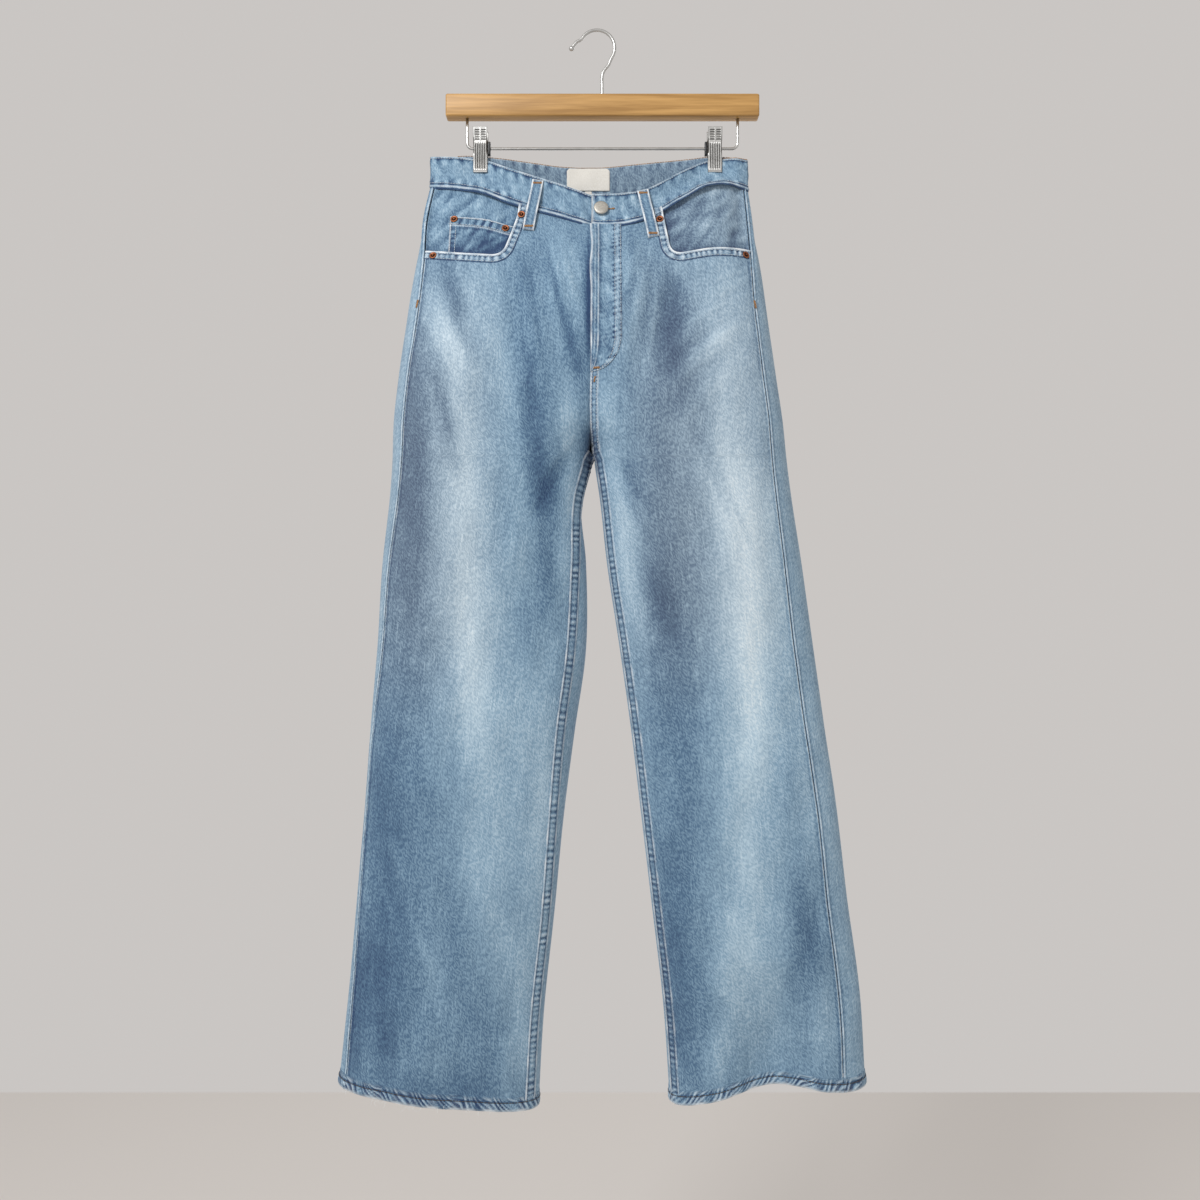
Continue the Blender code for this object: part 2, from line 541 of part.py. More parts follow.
def wire(name, points, radius, finish, collection):
    """A round wire along points, with flat ends."""
    curve = bpy.data.curves.new(name, "CURVE")
    curve.dimensions = "3D"
    curve.bevel_depth = radius
    curve.bevel_resolution = 2
    curve.use_fill_caps = True
    spline = curve.splines.new("POLY")
    spline.points.add(len(points) - 1)
    for place, point in zip(spline.points, points):
        place.co = (*point, 1)
    curve.materials.append(finish)
    piece = bpy.data.objects.new(name, curve)
    collection.objects.link(piece)
    return piece


# Pieces of cloth ------------------------------------------------------------------------------
def lower_first_row(grid, gap):
    """Move the first row down towards the second, to leave the gap of a seam."""
    grid = grid.copy()
    step = grid[1] - grid[0]
    grid[0] += step / np.linalg.norm(step, axis=1, keepdims=True) * gap
    return grid


def make_panels(collection, cutters, denim):
    """Fronts, backs and yokes of both halves. Returns them with the grids of fronts and seats."""
    panels, grids = {}, {}
    levels = TORSO_LEVELS + LEG_LEVELS[1:]
    for word, rows, side in (("right", RIGHT_ROWS, -1), ("left", LEFT_ROWS, 1)):
        front = panel_grid(rows, side, "front", levels, FRONT_SHARES)
        front = lower_first_row(front, 2 * SEAM_GAP)
        back = panel_grid(rows, side, "back", levels, BACK_SHARES)
        back = lower_first_row(back, 2 * SEAM_GAP)
        yoke_end = levels.index(YOKE_SIDE_Z)
        yoke, seat = back[:yoke_end + 1], lower_first_row(back[yoke_end:], 1.5 * SEAM_GAP)
        panels["front_" + word] = cloth("front_" + word, facing_out(front, side, "front"),
                                        CLOTH, denim, collection)
        panels["yoke_" + word] = cloth("yoke_" + word, facing_out(yoke, side, "back"),
                                       CLOTH, denim, collection)
        panels["back_" + word] = cloth("back_" + word, facing_out(seat, side, "back"),
                                       CLOTH, denim, collection)
        grids["front_" + word], grids["seat_" + word] = front, seat
        mouth = rounded_line(MOUTH_RIGHT if side < 0 else MOUTH_LEFT, MOUTH_RADIUS)
        out = side * MOUTH_REACH
        top = mouth[-1] + (0, MOUTH_REACH)
        outline = [mouth[0] + (out, 0), *mouth, top, (mouth[0][0] + out, top[1])]
        cutter = prism("mouth_" + word, outline, CUT_DEPTHS, cutters)
        cut(panels["front_" + word], cutter, "DIFFERENCE")
    return panels, grids


def make_waistband(collection, denim):
    """One band of doubled cloth round the waist, its left end lapped over its right end."""
    lines = {}
    for edge in ("top", "seam"):
        parts = []
        for rows, side in ((RIGHT_ROWS, -1), (LEFT_ROWS, 1)):
            curves = band_curves(side, edge)
            waist = read_row(rows, WAIST_SIDE_Z)
            front = resample(panel_path(*curves, waist, "front", False), FRONT_SHARES)
            back = resample(panel_path(*curves, waist, "back", False), BACK_SHARES)
            parts.append((front, back))
        (front_right, back_right), (front_left, back_left) = parts
        run_on = front_left[::-1][:4]
        lines[edge] = np.vstack([run_on[::-1], front_right[::-1], back_right[1:],
                                 back_left[::-1][1:], front_left[1:]])
    run = np.cumsum(np.r_[0, np.linalg.norm(np.diff(lines["seam"], axis=0), axis=1)])
    start = np.searchsorted(run, run[3] - UNDERLAP)
    keep = slice(max(start, 0), None)
    share = np.linspace(0, 1, 5)[:, None, None]
    grid = lines["top"] + (lines["seam"] - lines["top"]) * share
    grid[:, :, 1] = lines["top"][:, 1] + ((lines["seam"] - lines["top"])[:, 1]
                                          * share[:, :, 0]**BAND_FLARE)
    grid = grid[:, keep]
    run = run[keep]
    inward = np.clip((run[0] + UNDERLAP + STEP_LENGTH - run) / STEP_LENGTH, 0, 1)
    step = (BAND_CLOTH + SEAM_GAP) * inward**2 * (3 - 2 * inward)
    grid = grid + grid_normals(grid) * step[None, :, None]
    return cloth("waistband", grid[:, ::-1], BAND_CLOTH, denim, collection)


def make_front_pockets(grids, collection, cutters, denim):
    """A facing behind each pocket mouth and the coin pocket on the right one."""
    made = []
    for word, side in (("right", -1), ("left", 1)):
        block = grids["front_" + word][:FACING_ROWS + 1, :FACING_SHARES + 1]
        block = lower_first_row(block, FACING_TRIM)
        block = lower_first_row(block.swapaxes(0, 1), FACING_TRIM).swapaxes(0, 1)
        inward = grid_normals(block) * (side * (CLOTH + LIE_GAP))
        facing = facing_out(block + inward, side, "front")
        made.append(cloth("pocket_facing_" + word, facing, CLOTH, denim, collection))
    tree = evaluated_tree(made[:1])
    mouth = rounded_line(MOUTH_RIGHT, MOUTH_RADIUS)
    clear = [p for p in mouth if COIN_LEFT < p[0]]
    edge = [(x - COIN_CLEAR, z + COIN_CLEAR) for x, z in clear if z < COIN_TOP[-1][1]]
    columns = np.linspace(COIN_LEFT, MOUTH_RIGHT[-1][0], COIN_GRID[1])
    levels = np.linspace(COIN_TOP[0][1] + COIN_SPARE, MOUTH_RIGHT[2][1] - COIN_SPARE, COIN_GRID[0])
    points = [[surface_at(tree, x, z, -1)[0] for x in columns] for z in levels]
    grid = np.array(points)
    grid[:, :, 1] -= LIE_GAP + SMALL_CLOTH
    coin = cloth("coin_pocket", grid, SMALL_CLOTH, denim, collection)
    bottom = np.interp(COIN_LEFT, [p[0] for p in mouth[:-4]], [p[1] for p in mouth[:-4]])
    outline = [(COIN_LEFT, bottom + COIN_CLEAR), *edge, *COIN_TOP[::-1]]
    cut(coin, prism("coin_outline", outline, CUT_DEPTHS, cutters), "INTERSECT")
    return coin


def point_on(grid, rows, columns):
    """Points of a grid between its rows and columns, on the flat strips that join them."""
    r = np.clip(rows, 0, grid.shape[0] - 1.001)
    c = np.clip(columns, 0, grid.shape[1] - 1.001)
    i, j = r.astype(int), c.astype(int)
    s, t = (r - i)[..., None], (c - j)[..., None]
    upper = grid[i, j] * (1 - t) + grid[i, j + 1] * t
    lower = grid[i + 1, j] * (1 - t) + grid[i + 1, j + 1] * t
    return upper * (1 - s) + lower * s


def row_at(grid, column, z):
    """The row number at which a column of a grid passes a height."""
    return np.interp(-np.asarray(z), -grid[:, column, 2], np.arange(len(grid)))


def make_fly(grids, collection, denim):
    """The doubled strip beside the centre front, whose stitched edge curves back to the seam."""
    front = grids["front_left"]
    heights = np.concatenate([np.linspace(FLY_TOP_Z, FLY_END_Z + FLY_CURVE, 8),
                              FLY_END_Z + FLY_CURVE * np.cos(np.linspace(0.35, 1.35, 5))])
    rows = row_at(front, -1, heights)
    turn = np.clip((FLY_END_Z + FLY_CURVE - heights) / FLY_CURVE, 0, 1)
    width = FLY_WIDTH * np.sqrt(1 - turn**2) - SEAM_GAP
    columns = []
    for row, reach in zip(rows, width):
        line = point_on(front, np.full(front.shape[1], row), np.arange(front.shape[1]))
        run = np.cumsum(np.r_[0, np.linalg.norm(np.diff(line, axis=0), axis=1)])
        wanted = run[-1] - SEAM_GAP - reach * np.array(FLY_SHARES)
        columns.append(np.interp(wanted, run, np.arange(len(run))))
    columns = np.array(columns)
    strip = point_on(front, np.repeat(rows[:, None], len(FLY_SHARES), axis=1), columns)
    strip = strip + grid_normals(strip) * -(FLY_GAP + CLOTH)
    return cloth("fly", facing_out(strip, 1, "front"), CLOTH, denim, collection)


def make_back_pockets(grids, collection, denim):
    """A plain patch pocket with a pointed foot on each back panel."""
    first, last = POCKET_SHARES
    columns = np.arange(first, last + 1)
    middle = (first + last) / 2
    for word, side in (("right", -1), ("left", 1)):
        seat = grids["seat_" + word]
        tops = seat[0, columns, 2] - BACK_POCKET_TOP
        point = BACK_POCKET_POINT * (1 - np.abs(columns - middle) / (middle - first))
        shares = np.linspace(0, 1, BACK_POCKET_ROWS)[:, None]
        heights = tops - shares * (BACK_POCKET_SIDE + point)
        rows = np.stack([row_at(seat, c, heights[:, k]) for k, c in enumerate(columns)], axis=1)
        grid = point_on(seat, rows, np.broadcast_to(columns.astype(float), rows.shape))
        grid = grid + grid_normals(grid) * (side * (LIE_GAP + CLOTH))
        cloth("back_pocket_" + word, facing_out(grid, side, "back"), CLOTH, denim, collection)


def make_loops(panels, band, collection, denim):
    """Belt loops: flat strips that lie over the waistband and end on the panel below it."""
    tree = evaluated_tree([band, *panels.values()])
    for values in LOOPS:
        loop = dict(zip(LOOP_COLUMNS, values))
        start = np.array([loop["x_top"], loop["z_top"]])
        end = np.array([loop["x_end"], loop["z_end"]])
        along = (end - start) / np.linalg.norm(end - start)
        across = np.array([-along[1], along[0]]) * LOOP_WIDTH / 2
        shares = np.linspace(0, 1, LOOP_ROWS)
        grid = np.zeros((LOOP_ROWS, 3, 3))
        for i, share in enumerate(shares):
            for j, offset in enumerate((-1, 0, 1)):
                x, z = start + (end - start) * share + across * offset
                near = [surface_at(tree, x + a * LOOP_REACH, z + b * LOOP_REACH,
                                   loop["facing"])[0] for a in (-1, 0, 1) for b in (-1, 0, 1)]
                depths = [hit.y * loop["facing"] for hit in near if hit]
                bow = LOOP_BOW * math.sin(math.pi * share)
                y = loop["facing"] * (max(depths) + SEAM_GAP + LOOP_CLOTH + bow)
                grid[i, j] = (x, y, z)
        if loop["facing"] < 0:
            grid = grid[:, ::-1]
        if np.cross(grid[1, 0] - grid[0, 0], grid[0, 1] - grid[0, 0])[1] * loop["facing"] < 0:
            grid = grid[:, ::-1]
        cloth(loop["name"], grid, LOOP_CLOTH, denim, collection)


def make_label(band, collection, finish):
    """A bare label and a small tab on the inside of the back of the waistband."""
    tree = evaluated_tree([band])
    for name, size, centre in (("waist_label", LABEL_SIZE, LABEL_CENTRE),
                               ("size_tab", TAB_SIZE, TAB_CENTRE)):
        columns = centre[0] + size[0] * np.linspace(-0.5, 0.5, LABEL_GRID[1])
        heights = centre[1] + size[1] * np.linspace(0.5, -0.5, LABEL_GRID[0])
        grid = np.zeros((*LABEL_GRID, 3))
        for i, z in enumerate(heights):
            for j, x in enumerate(columns):
                hit = tree.ray_cast(Vector((x, INSIDE_Y, z)), Vector((0, 1, 0)))[0]
                grid[i, j] = (x, hit.y - LIE_GAP - SMALL_CLOTH, z)
        cloth(name, grid, SMALL_CLOTH, finish, collection)


def seat_on(piece, tree, x, z, lift):
    """Stand a turned piece on the cloth at x, z, with its axis along the surface normal."""
    hit, normal = surface_at(tree, x, z, -1)
    piece.location = hit + normal * lift
    piece.rotation_euler = normal.to_track_quat("Z", "Y").to_euler()


def make_trim(panels, band, coin, collection):
    """The waist button and the six rivets."""
    pewter = material("pewter_button", "A3A19C", 0.35, 1.0)
    copper = material("worn_copper", "7A4B33", 0.45, 1.0)
    profile = [(share * BUTTON_RADIUS, height) for share, height in BUTTON_PROFILE]
    button = turned("waist_button", profile, pewter, collection, 24)
    seat_on(button, evaluated_tree([band]), *BUTTON_AT, LIE_GAP)
    tree = evaluated_tree([*panels.values(), coin])
    profile = [(share * RIVET_RADIUS, height) for share, height in RIVET_PROFILE]
    for name, x, z in RIVETS:
        rivet = turned(name, profile, copper, collection, 16)
        seat_on(rivet, tree, x, z, LIE_GAP)


# Hanger ---------------------------------------------------------------------------------------
def circle_points(centre, radius, start, end, count):
    """Points on an arc in the X-Z plane; angles in degrees from +X towards +Z."""
    angles = np.radians(np.linspace(start, end, count))
    return [(centre[0] + radius * math.cos(a), 0.0, centre[1] + radius * math.sin(a))
            for a in angles]


def make_hanger(collection):
    """Wooden bar, wire hook with its ball tip, wire trapeze and two sprung clips."""
    wood = material("varnished_beech", "BA8F5D", 0.4)
    chrome = material("chromed_wire", "C9C9C7", 0.15, 1.0)
    bpy.ops.mesh.primitive_cube_add(size=1, location=BAR_CENTRE)
    bar = bpy.context.object
    bar.name = "hanger_bar"
    bar.data.transform(Matrix.Diagonal((*BAR_SIZE, 1)))
    bar.data.materials.append(wood)
    rounding = bar.modifiers.new("edges", "BEVEL")
    rounding.width = BAR_EDGE
    rounding.segments = 2
    for holder in list(bar.users_collection):
        holder.objects.unlink(bar)
    collection.objects.link(bar)

    bar_top = BAR_CENTRE[2] + BAR_SIZE[2] / 2
    bar_foot = BAR_CENTRE[2] - BAR_SIZE[2] / 2
    centre = (0.0, -(HOOK_RADIUS - HOOK_WIRE))
    points = [(x, 0.0, z) for x, z in HOOK_TIP]
    points += circle_points(centre, HOOK_RADIUS, *HOOK_ARC, 15)
    points += [(x, 0.0, z) for x, z in HOOK_NECK]
    points += [(STEM_X, 0.0, bar_top + SEAM_GAP)]
    wire("hanger_hook", points, HOOK_WIRE, chrome, collection)
    bpy.ops.mesh.primitive_uv_sphere_add(segments=12, ring_count=8, radius=BALL_RADIUS,
                                         location=BALL_CENTRE)
    ball = bpy.context.object
    ball.name = "hanger_hook_tip"
    ball.data.materials.append(chrome)
    for holder in list(ball.users_collection):
        holder.objects.unlink(ball)
    collection.objects.link(ball)

    left, right = BAR_CENTRE[0] - TRAPEZE_HALF, BAR_CENTRE[0] + TRAPEZE_HALF
    r, z = TRAPEZE_BEND, TRAPEZE_Z
    points = [(left, 0.0, bar_foot - SEAM_GAP)]
    points += circle_points((left + r, z + r), r, 180, 270, 5)
    points += circle_points((right - r, z + r), r, 270, 360, 5)
    points += [(right, 0.0, bar_foot - SEAM_GAP)]
    wire("hanger_wire", points, TRAPEZE_WIRE, chrome, collection)

    for name, x in CLIPS:
        for face, facing in (("front", -1), ("back", 1)):
            make_jaw(name + "_" + face + "_jaw", x, facing, chrome, collection)
        make_spring(name + "_spring", x, chrome, collection)


def make_jaw(name, x, facing, finish, collection):
    """One jaw: a strip that bites the waistband, bows round the spring and splays at the top."""
    columns = x + CLIP_WIDTH * np.array([-0.5, 0.0, 0.5]) * -facing
    grid = np.array([[(c, facing * y, z) for c in columns] for y, z in JAW_PROFILE])
    return cloth(name, grid, CLIP_PLATE, finish, collection)


def make_spring(name, x, finish, collection):
    """The coiled spring round the wire, as a plain tube with the wire's clearance inside."""
    bore = TRAPEZE_WIRE + SEAM_GAP
    half = SPRING_LENGTH / 2
    piece = turned(name, [(bore, -half), (SPRING_RADIUS, -half), (SPRING_RADIUS, half),
                          (bore, half), (bore, -half)], finish, collection, 16)
    piece.location = (x, 0, TRAPEZE_Z)
    piece.rotation_euler = (0, math.pi / 2, 0)
    return piece


# Assembly -------------------------------------------------------------------------------------
def main():
    for old in list(bpy.data.objects):
        bpy.data.objects.remove(old)
    collection = bpy.data.collections.new("wide_leg_jeans")
    cutters = bpy.data.collections.new("cutters")
    bpy.context.scene.collection.children.link(collection)
    bpy.context.scene.collection.children.link(cutters)
    denim = material("faded_denim", "8FA8BC", 0.9)
    canvas = material("cream_label", "D9D6CE", 0.8)
    panels, grids = make_panels(collection, cutters, denim)
    band = make_waistband(collection, denim)
    coin = make_front_pockets(grids, collection, cutters, denim)
    make_fly(grids, collection, denim)
    make_back_pockets(grids, collection, denim)
    make_loops(panels, band, collection, denim)
    make_label(band, collection, canvas)
    make_trim(panels, band, coin, collection)
    make_hanger(collection)


main()
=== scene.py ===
import math
import bpy
import numpy as np
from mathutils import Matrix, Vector


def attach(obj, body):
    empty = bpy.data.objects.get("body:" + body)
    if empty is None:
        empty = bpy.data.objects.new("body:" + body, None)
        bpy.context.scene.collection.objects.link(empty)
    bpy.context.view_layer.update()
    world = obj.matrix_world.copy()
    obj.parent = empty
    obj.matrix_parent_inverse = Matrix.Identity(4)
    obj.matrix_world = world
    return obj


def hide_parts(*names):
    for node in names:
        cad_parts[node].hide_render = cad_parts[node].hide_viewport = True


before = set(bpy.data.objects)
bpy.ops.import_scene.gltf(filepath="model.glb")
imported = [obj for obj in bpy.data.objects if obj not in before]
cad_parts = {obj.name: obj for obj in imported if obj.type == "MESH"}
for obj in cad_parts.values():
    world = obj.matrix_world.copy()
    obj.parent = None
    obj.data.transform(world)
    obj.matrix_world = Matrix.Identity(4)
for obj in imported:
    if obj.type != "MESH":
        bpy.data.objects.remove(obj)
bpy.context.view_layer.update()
print("frame loaded")

# All sizes are metres. +Z is up, +X is the wearer's left, -Y is the front.
# The origin is the inside top of the hanger's hook.

camera = {"place": (0.0034, -1.40, -0.644), "lens": 37.05, "sensor": 36.0}
studio = {
    "floorZ": -1.90, "floorHalf": 1.75,
    "floorColour": "D9D5D1", "worldColour": "DAD6D3", "worldStrength": 0.84,
    "keyPlace": (-1.3, -2.3, 1.1), "keySize": 0.8, "keyPower": 60.0,
    "fillPlace": (1.9, -1.7, -0.3), "fillSize": 1.8, "fillPower": 2.0,
    "backPlace": (0.5, 2.4, 0.5), "backSize": 2.0, "backPower": 12.0,
    "aim": (0.0, 0.0, -0.62),
}


def linearColour(code):
    # sRGB hex to linear: c / 12.92 near black, else ((c + 0.055) / 1.055) to the power 2.4
    channels = [int(code[i:i + 2], 16) / 255 for i in (0, 2, 4)]
    return tuple(c / 12.92 if c <= 0.04045 else ((c + 0.055) / 1.055)**2.4
                 for c in channels) + (1.0,)


def addNode(tree, kind, settings, inputs):
    # One node with its settings; inputs maps a socket to a value or to the output linked to it.
    # A colour ramp's stops are (place, sRGB hex)
    node = tree.nodes.new(kind)
    for key, value in settings.items():
        if key != "stops":
            setattr(node, key, value)
            continue
        marks = node.color_ramp.elements
        while len(marks) < len(value):
            marks.new(0.5)
        for mark, (place, code) in zip(marks, value):
            mark.position = place
            mark.color = linearColour(code)
    for key, value in inputs.items():
        if isinstance(value, bpy.types.NodeSocket):
            tree.links.new(value, node.inputs[key])
        else:
            node.inputs[key].default_value = value
    return node


def aimAt(thing, place, target):
    # Stand the thing at place and turn its -Z towards the target
    thing.location = place
    way = Vector(target) - Vector(place)
    thing.rotation_euler = way.to_track_quat("-Z", "Y").to_euler()


def buildStudio():
    scene = bpy.context.scene
    lens = bpy.data.cameras.new("photoCamera")
    lens.lens = camera["lens"]
    lens.sensor_width = camera["sensor"]
    eye = bpy.data.objects.new("photoCamera", lens)
    scene.collection.objects.link(eye)
    eye.location = camera["place"]
    eye.rotation_euler = (math.pi / 2, 0, 0)      # level, looking along +Y
    scene.camera = eye
    for word in ("key", "fill", "back"):
        lamp = bpy.data.lights.new(word + "Light", "AREA")
        lamp.size = studio[word + "Size"]
        lamp.energy = studio[word + "Power"]
        holder = bpy.data.objects.new(word + "Light", lamp)
        scene.collection.objects.link(holder)
        aimAt(holder, studio[word + "Place"], studio["aim"])
    world = bpy.data.worlds.new("paleStudio")
    world.use_nodes = True
    background = world.node_tree.nodes["Background"]
    background.inputs["Color"].default_value = linearColour(studio["worldColour"])
    background.inputs["Strength"].default_value = studio["worldStrength"]
    scene.world = world
    scene.view_settings.view_transform = "Standard"
    half, z = studio["floorHalf"], studio["floorZ"]
    mesh = bpy.data.meshes.new("studioFloor")
    mesh.from_pydata([(-half, -half, z), (half, -half, z), (half, half, z), (-half, half, z)],
                     [], [(0, 1, 2, 3)])
    floor = bpy.data.objects.new("studioFloor", mesh)
    scene.collection.objects.link(floor)
    paint = bpy.data.materials.new("palePaintedFloor")
    paint.use_nodes = True
    shader = paint.node_tree.nodes["Principled BSDF"]
    shader.inputs["Base Color"].default_value = linearColour(studio["floorColour"])
    shader.inputs["Roughness"].default_value = 0.9
    mesh.materials.append(paint)


buildStudio()
print("camera, lights and floor placed")

# The cut of the jeans. These are the sizes that the solids are made from.
garment = {
    "wall": 0.0012, "bandWall": 0.0024, "loopWall": 0.0016, "smallWall": 0.0008,
    "centreX": -0.0060, "waistZ": -0.1770, "yokeSideZ": -0.2210, "blendEndZ": -0.3300,
    "crotchZ": -0.4900, "hemZ": -1.1790, "crest": 0.42, "squareness": 2.35,
    "hemLift": 0.013, "hemLiftStartZ": -1.000, "foldFade": 0.020, "foldEndPower": 1.3,
    "bandFlare": 3.0, "underlap": 0.024, "stepLength": 0.014,
}
# One level section a row: height at the side fold, how much lower the inner end is in front and
# behind, side fold and inner end from the centre line, depth of the side fold, bulge in front
# and behind, the same at the inner end, and how far in front of its fold each seam shows.
sectionColumns = ("z", "dropFront", "dropBack", "side", "inner", "midY", "front", "back",
                  "frontIn", "backIn", "outSeam", "inSeam")
legRows = {
    -1: [   # wearer's right
        (-0.177, 0.052, 0.010, 0.180, 0.000, -0.003, 0.024, 0.014, 0.033, 0.018, 0.005, 0.0),
        (-0.221, 0.034, 0.037, 0.192, 0.000, -0.008, 0.032, 0.023, 0.044, 0.024, 0.010, 0.0),
        (-0.264, 0.022, 0.028, 0.197, 0.000, -0.016, 0.040, 0.031, 0.048, 0.030, 0.014, 0.0),
        (-0.330, 0.010, 0.014, 0.204, 0.000, -0.025, 0.051, 0.040, 0.050, 0.037, 0.016, 0.0),
        (-0.400, 0.002, 0.004, 0.213, 0.000, -0.031, 0.056, 0.047, 0.047, 0.040, 0.016, 0.0),
        (-0.450, 0.000, 0.001, 0.218, 0.001, -0.033, 0.057, 0.050, 0.033, 0.030, 0.016, 0.0),
        (-0.490, 0.000, 0.000, 0.219, 0.003, -0.034, 0.057, 0.051, 0.000, 0.000, 0.015, 0.001),
        (-0.530, 0.001, 0.001, 0.222, 0.011, -0.034, 0.056, 0.051, 0.000, 0.000, 0.014, 0.003),
        (-0.600, 0.004, 0.004, 0.230, 0.006, -0.033, 0.054, 0.049, 0.000, 0.000, 0.012, 0.011),
        (-0.690, 0.008, 0.008, 0.236, 0.006, -0.031, 0.051, 0.046, 0.000, 0.000, 0.010, 0.016),
        (-0.780, 0.012, 0.012, 0.244, 0.019, -0.029, 0.049, 0.044, 0.000, 0.000, 0.006, 0.015),
        (-0.870, 0.015, 0.015, 0.251, 0.031, -0.027, 0.047, 0.042, 0.000, 0.000, 0.005, 0.011),
        (-0.970, 0.018, 0.018, 0.260, 0.041, -0.025, 0.046, 0.041, 0.000, 0.000, 0.006, 0.009),
        (-1.080, 0.022, 0.022, 0.270, 0.053, -0.023, 0.044, 0.039, 0.000, 0.000, 0.008, 0.009),
        (-1.179, 0.026, 0.026, 0.281, 0.059, -0.022, 0.043, 0.038, 0.000, 0.000, 0.011, 0.009),
    ],
    1: [    # wearer's left
        (-0.177, 0.052, 0.010, 0.174, 0.000, -0.004, 0.026, 0.014, 0.033, 0.018, 0.006, 0.0),
        (-0.221, 0.034, 0.037, 0.182, 0.000, -0.010, 0.034, 0.023, 0.044, 0.024, 0.011, 0.0),
        (-0.264, 0.022, 0.028, 0.188, 0.000, -0.017, 0.042, 0.031, 0.048, 0.030, 0.014, 0.0),
        (-0.330, 0.010, 0.014, 0.195, 0.000, -0.025, 0.051, 0.040, 0.050, 0.037, 0.017, 0.0),
        (-0.400, 0.002, 0.004, 0.204, 0.000, -0.031, 0.056, 0.047, 0.047, 0.040, 0.019, 0.0),
        (-0.450, 0.000, 0.001, 0.211, 0.000, -0.033, 0.057, 0.050, 0.033, 0.030, 0.020, 0.0),
        (-0.490, 0.000, 0.000, 0.215, 0.003, -0.034, 0.057, 0.051, 0.000, 0.000, 0.021, 0.001),
        (-0.530, 0.001, 0.001, 0.220, 0.009, -0.034, 0.056, 0.051, 0.000, 0.000, 0.022, 0.001),
        (-0.600, 0.003, 0.003, 0.231, 0.017, -0.033, 0.054, 0.049, 0.000, 0.000, 0.024, 0.001),
        (-0.690, 0.006, 0.006, 0.244, 0.031, -0.031, 0.051, 0.046, 0.000, 0.000, 0.026, 0.001),
        (-0.780, 0.009, 0.009, 0.257, 0.044, -0.029, 0.049, 0.044, 0.000, 0.000, 0.026, 0.001),
        (-0.870, 0.011, 0.011, 0.271, 0.055, -0.027, 0.047, 0.042, 0.000, 0.000, 0.026, 0.001),
        (-0.970, 0.013, 0.013, 0.283, 0.067, -0.025, 0.046, 0.041, 0.000, 0.000, 0.027, 0.001),
        (-1.080, 0.016, 0.016, 0.298, 0.080, -0.024, 0.044, 0.039, 0.000, 0.000, 0.028, 0.001),
        (-1.179, 0.020, 0.020, 0.304, 0.087, -0.024, 0.043, 0.038, 0.000, 0.000, 0.029, 0.001),
    ],
}
# The waistband's outer face from the right side to the left side, over the front and the back.
bandColumns = ("x", "topY", "topZ", "seamY", "seamZ")
bandRows = {
    "front": [
        (-0.1890, 0.0000, -0.1416, -0.0020, -0.1764),
        (-0.1603, -0.0060, -0.1435, -0.0100, -0.1800),
        (-0.1430, -0.0032, -0.1445, -0.0135, -0.1830),
        (-0.1324, -0.0031, -0.1450, -0.0160, -0.1855),
        (-0.1215, -0.0034, -0.1475, -0.0190, -0.1895),
        (-0.1092, -0.0100, -0.1540, -0.0220, -0.1955),
        (-0.0749, -0.0190, -0.1680, -0.0290, -0.2085),
        (-0.0412, -0.0250, -0.1803, -0.0340, -0.2190),
        (-0.0060, -0.0280, -0.1920, -0.0370, -0.2290),
        (0.0167, -0.0290, -0.1926, -0.0380, -0.2300),
        (0.0535, -0.0250, -0.1862, -0.0360, -0.2222),
        (0.0932, -0.0140, -0.1635, -0.0320, -0.1995),
        (0.1225, -0.0034, -0.1480, -0.0270, -0.1825),
        (0.1335, -0.0031, -0.1455, -0.0250, -0.1800),
        (0.1440, -0.0032, -0.1450, -0.0225, -0.1792),
        (0.1580, -0.0060, -0.1453, -0.0150, -0.1797),
        (0.1712, 0.0000, -0.1455, -0.0050, -0.1811),
    ],
    "back": [
        (-0.1890, 0.0000, -0.1416, -0.0020, -0.1764),
        (-0.1617, 0.0060, -0.1398, 0.0080, -0.1772),
        (-0.1430, 0.0032, -0.1405, 0.0065, -0.1779),
        (-0.1329, 0.0031, -0.1412, 0.0070, -0.1785),
        (-0.1210, 0.0034, -0.1420, 0.0078, -0.1793),
        (-0.0765, 0.0100, -0.1455, 0.0120, -0.1830),
        (-0.0424, 0.0140, -0.1488, 0.0155, -0.1863),
        (-0.0060, 0.0158, -0.1496, 0.0172, -0.1871),
        (0.0606, 0.0120, -0.1453, 0.0140, -0.1828),
        (0.1060, 0.0070, -0.1426, 0.0100, -0.1800),
        (0.1225, 0.0034, -0.1418, 0.0078, -0.1792),
        (0.1341, 0.0031, -0.1415, 0.0070, -0.1790),
        (0.1440, 0.0032, -0.1416, 0.0066, -0.1791),
        (0.1570, 0.0060, -0.1420, 0.0070, -0.1795),
        (0.1712, 0.0000, -0.1455, -0.0050, -0.1811),
    ],
}
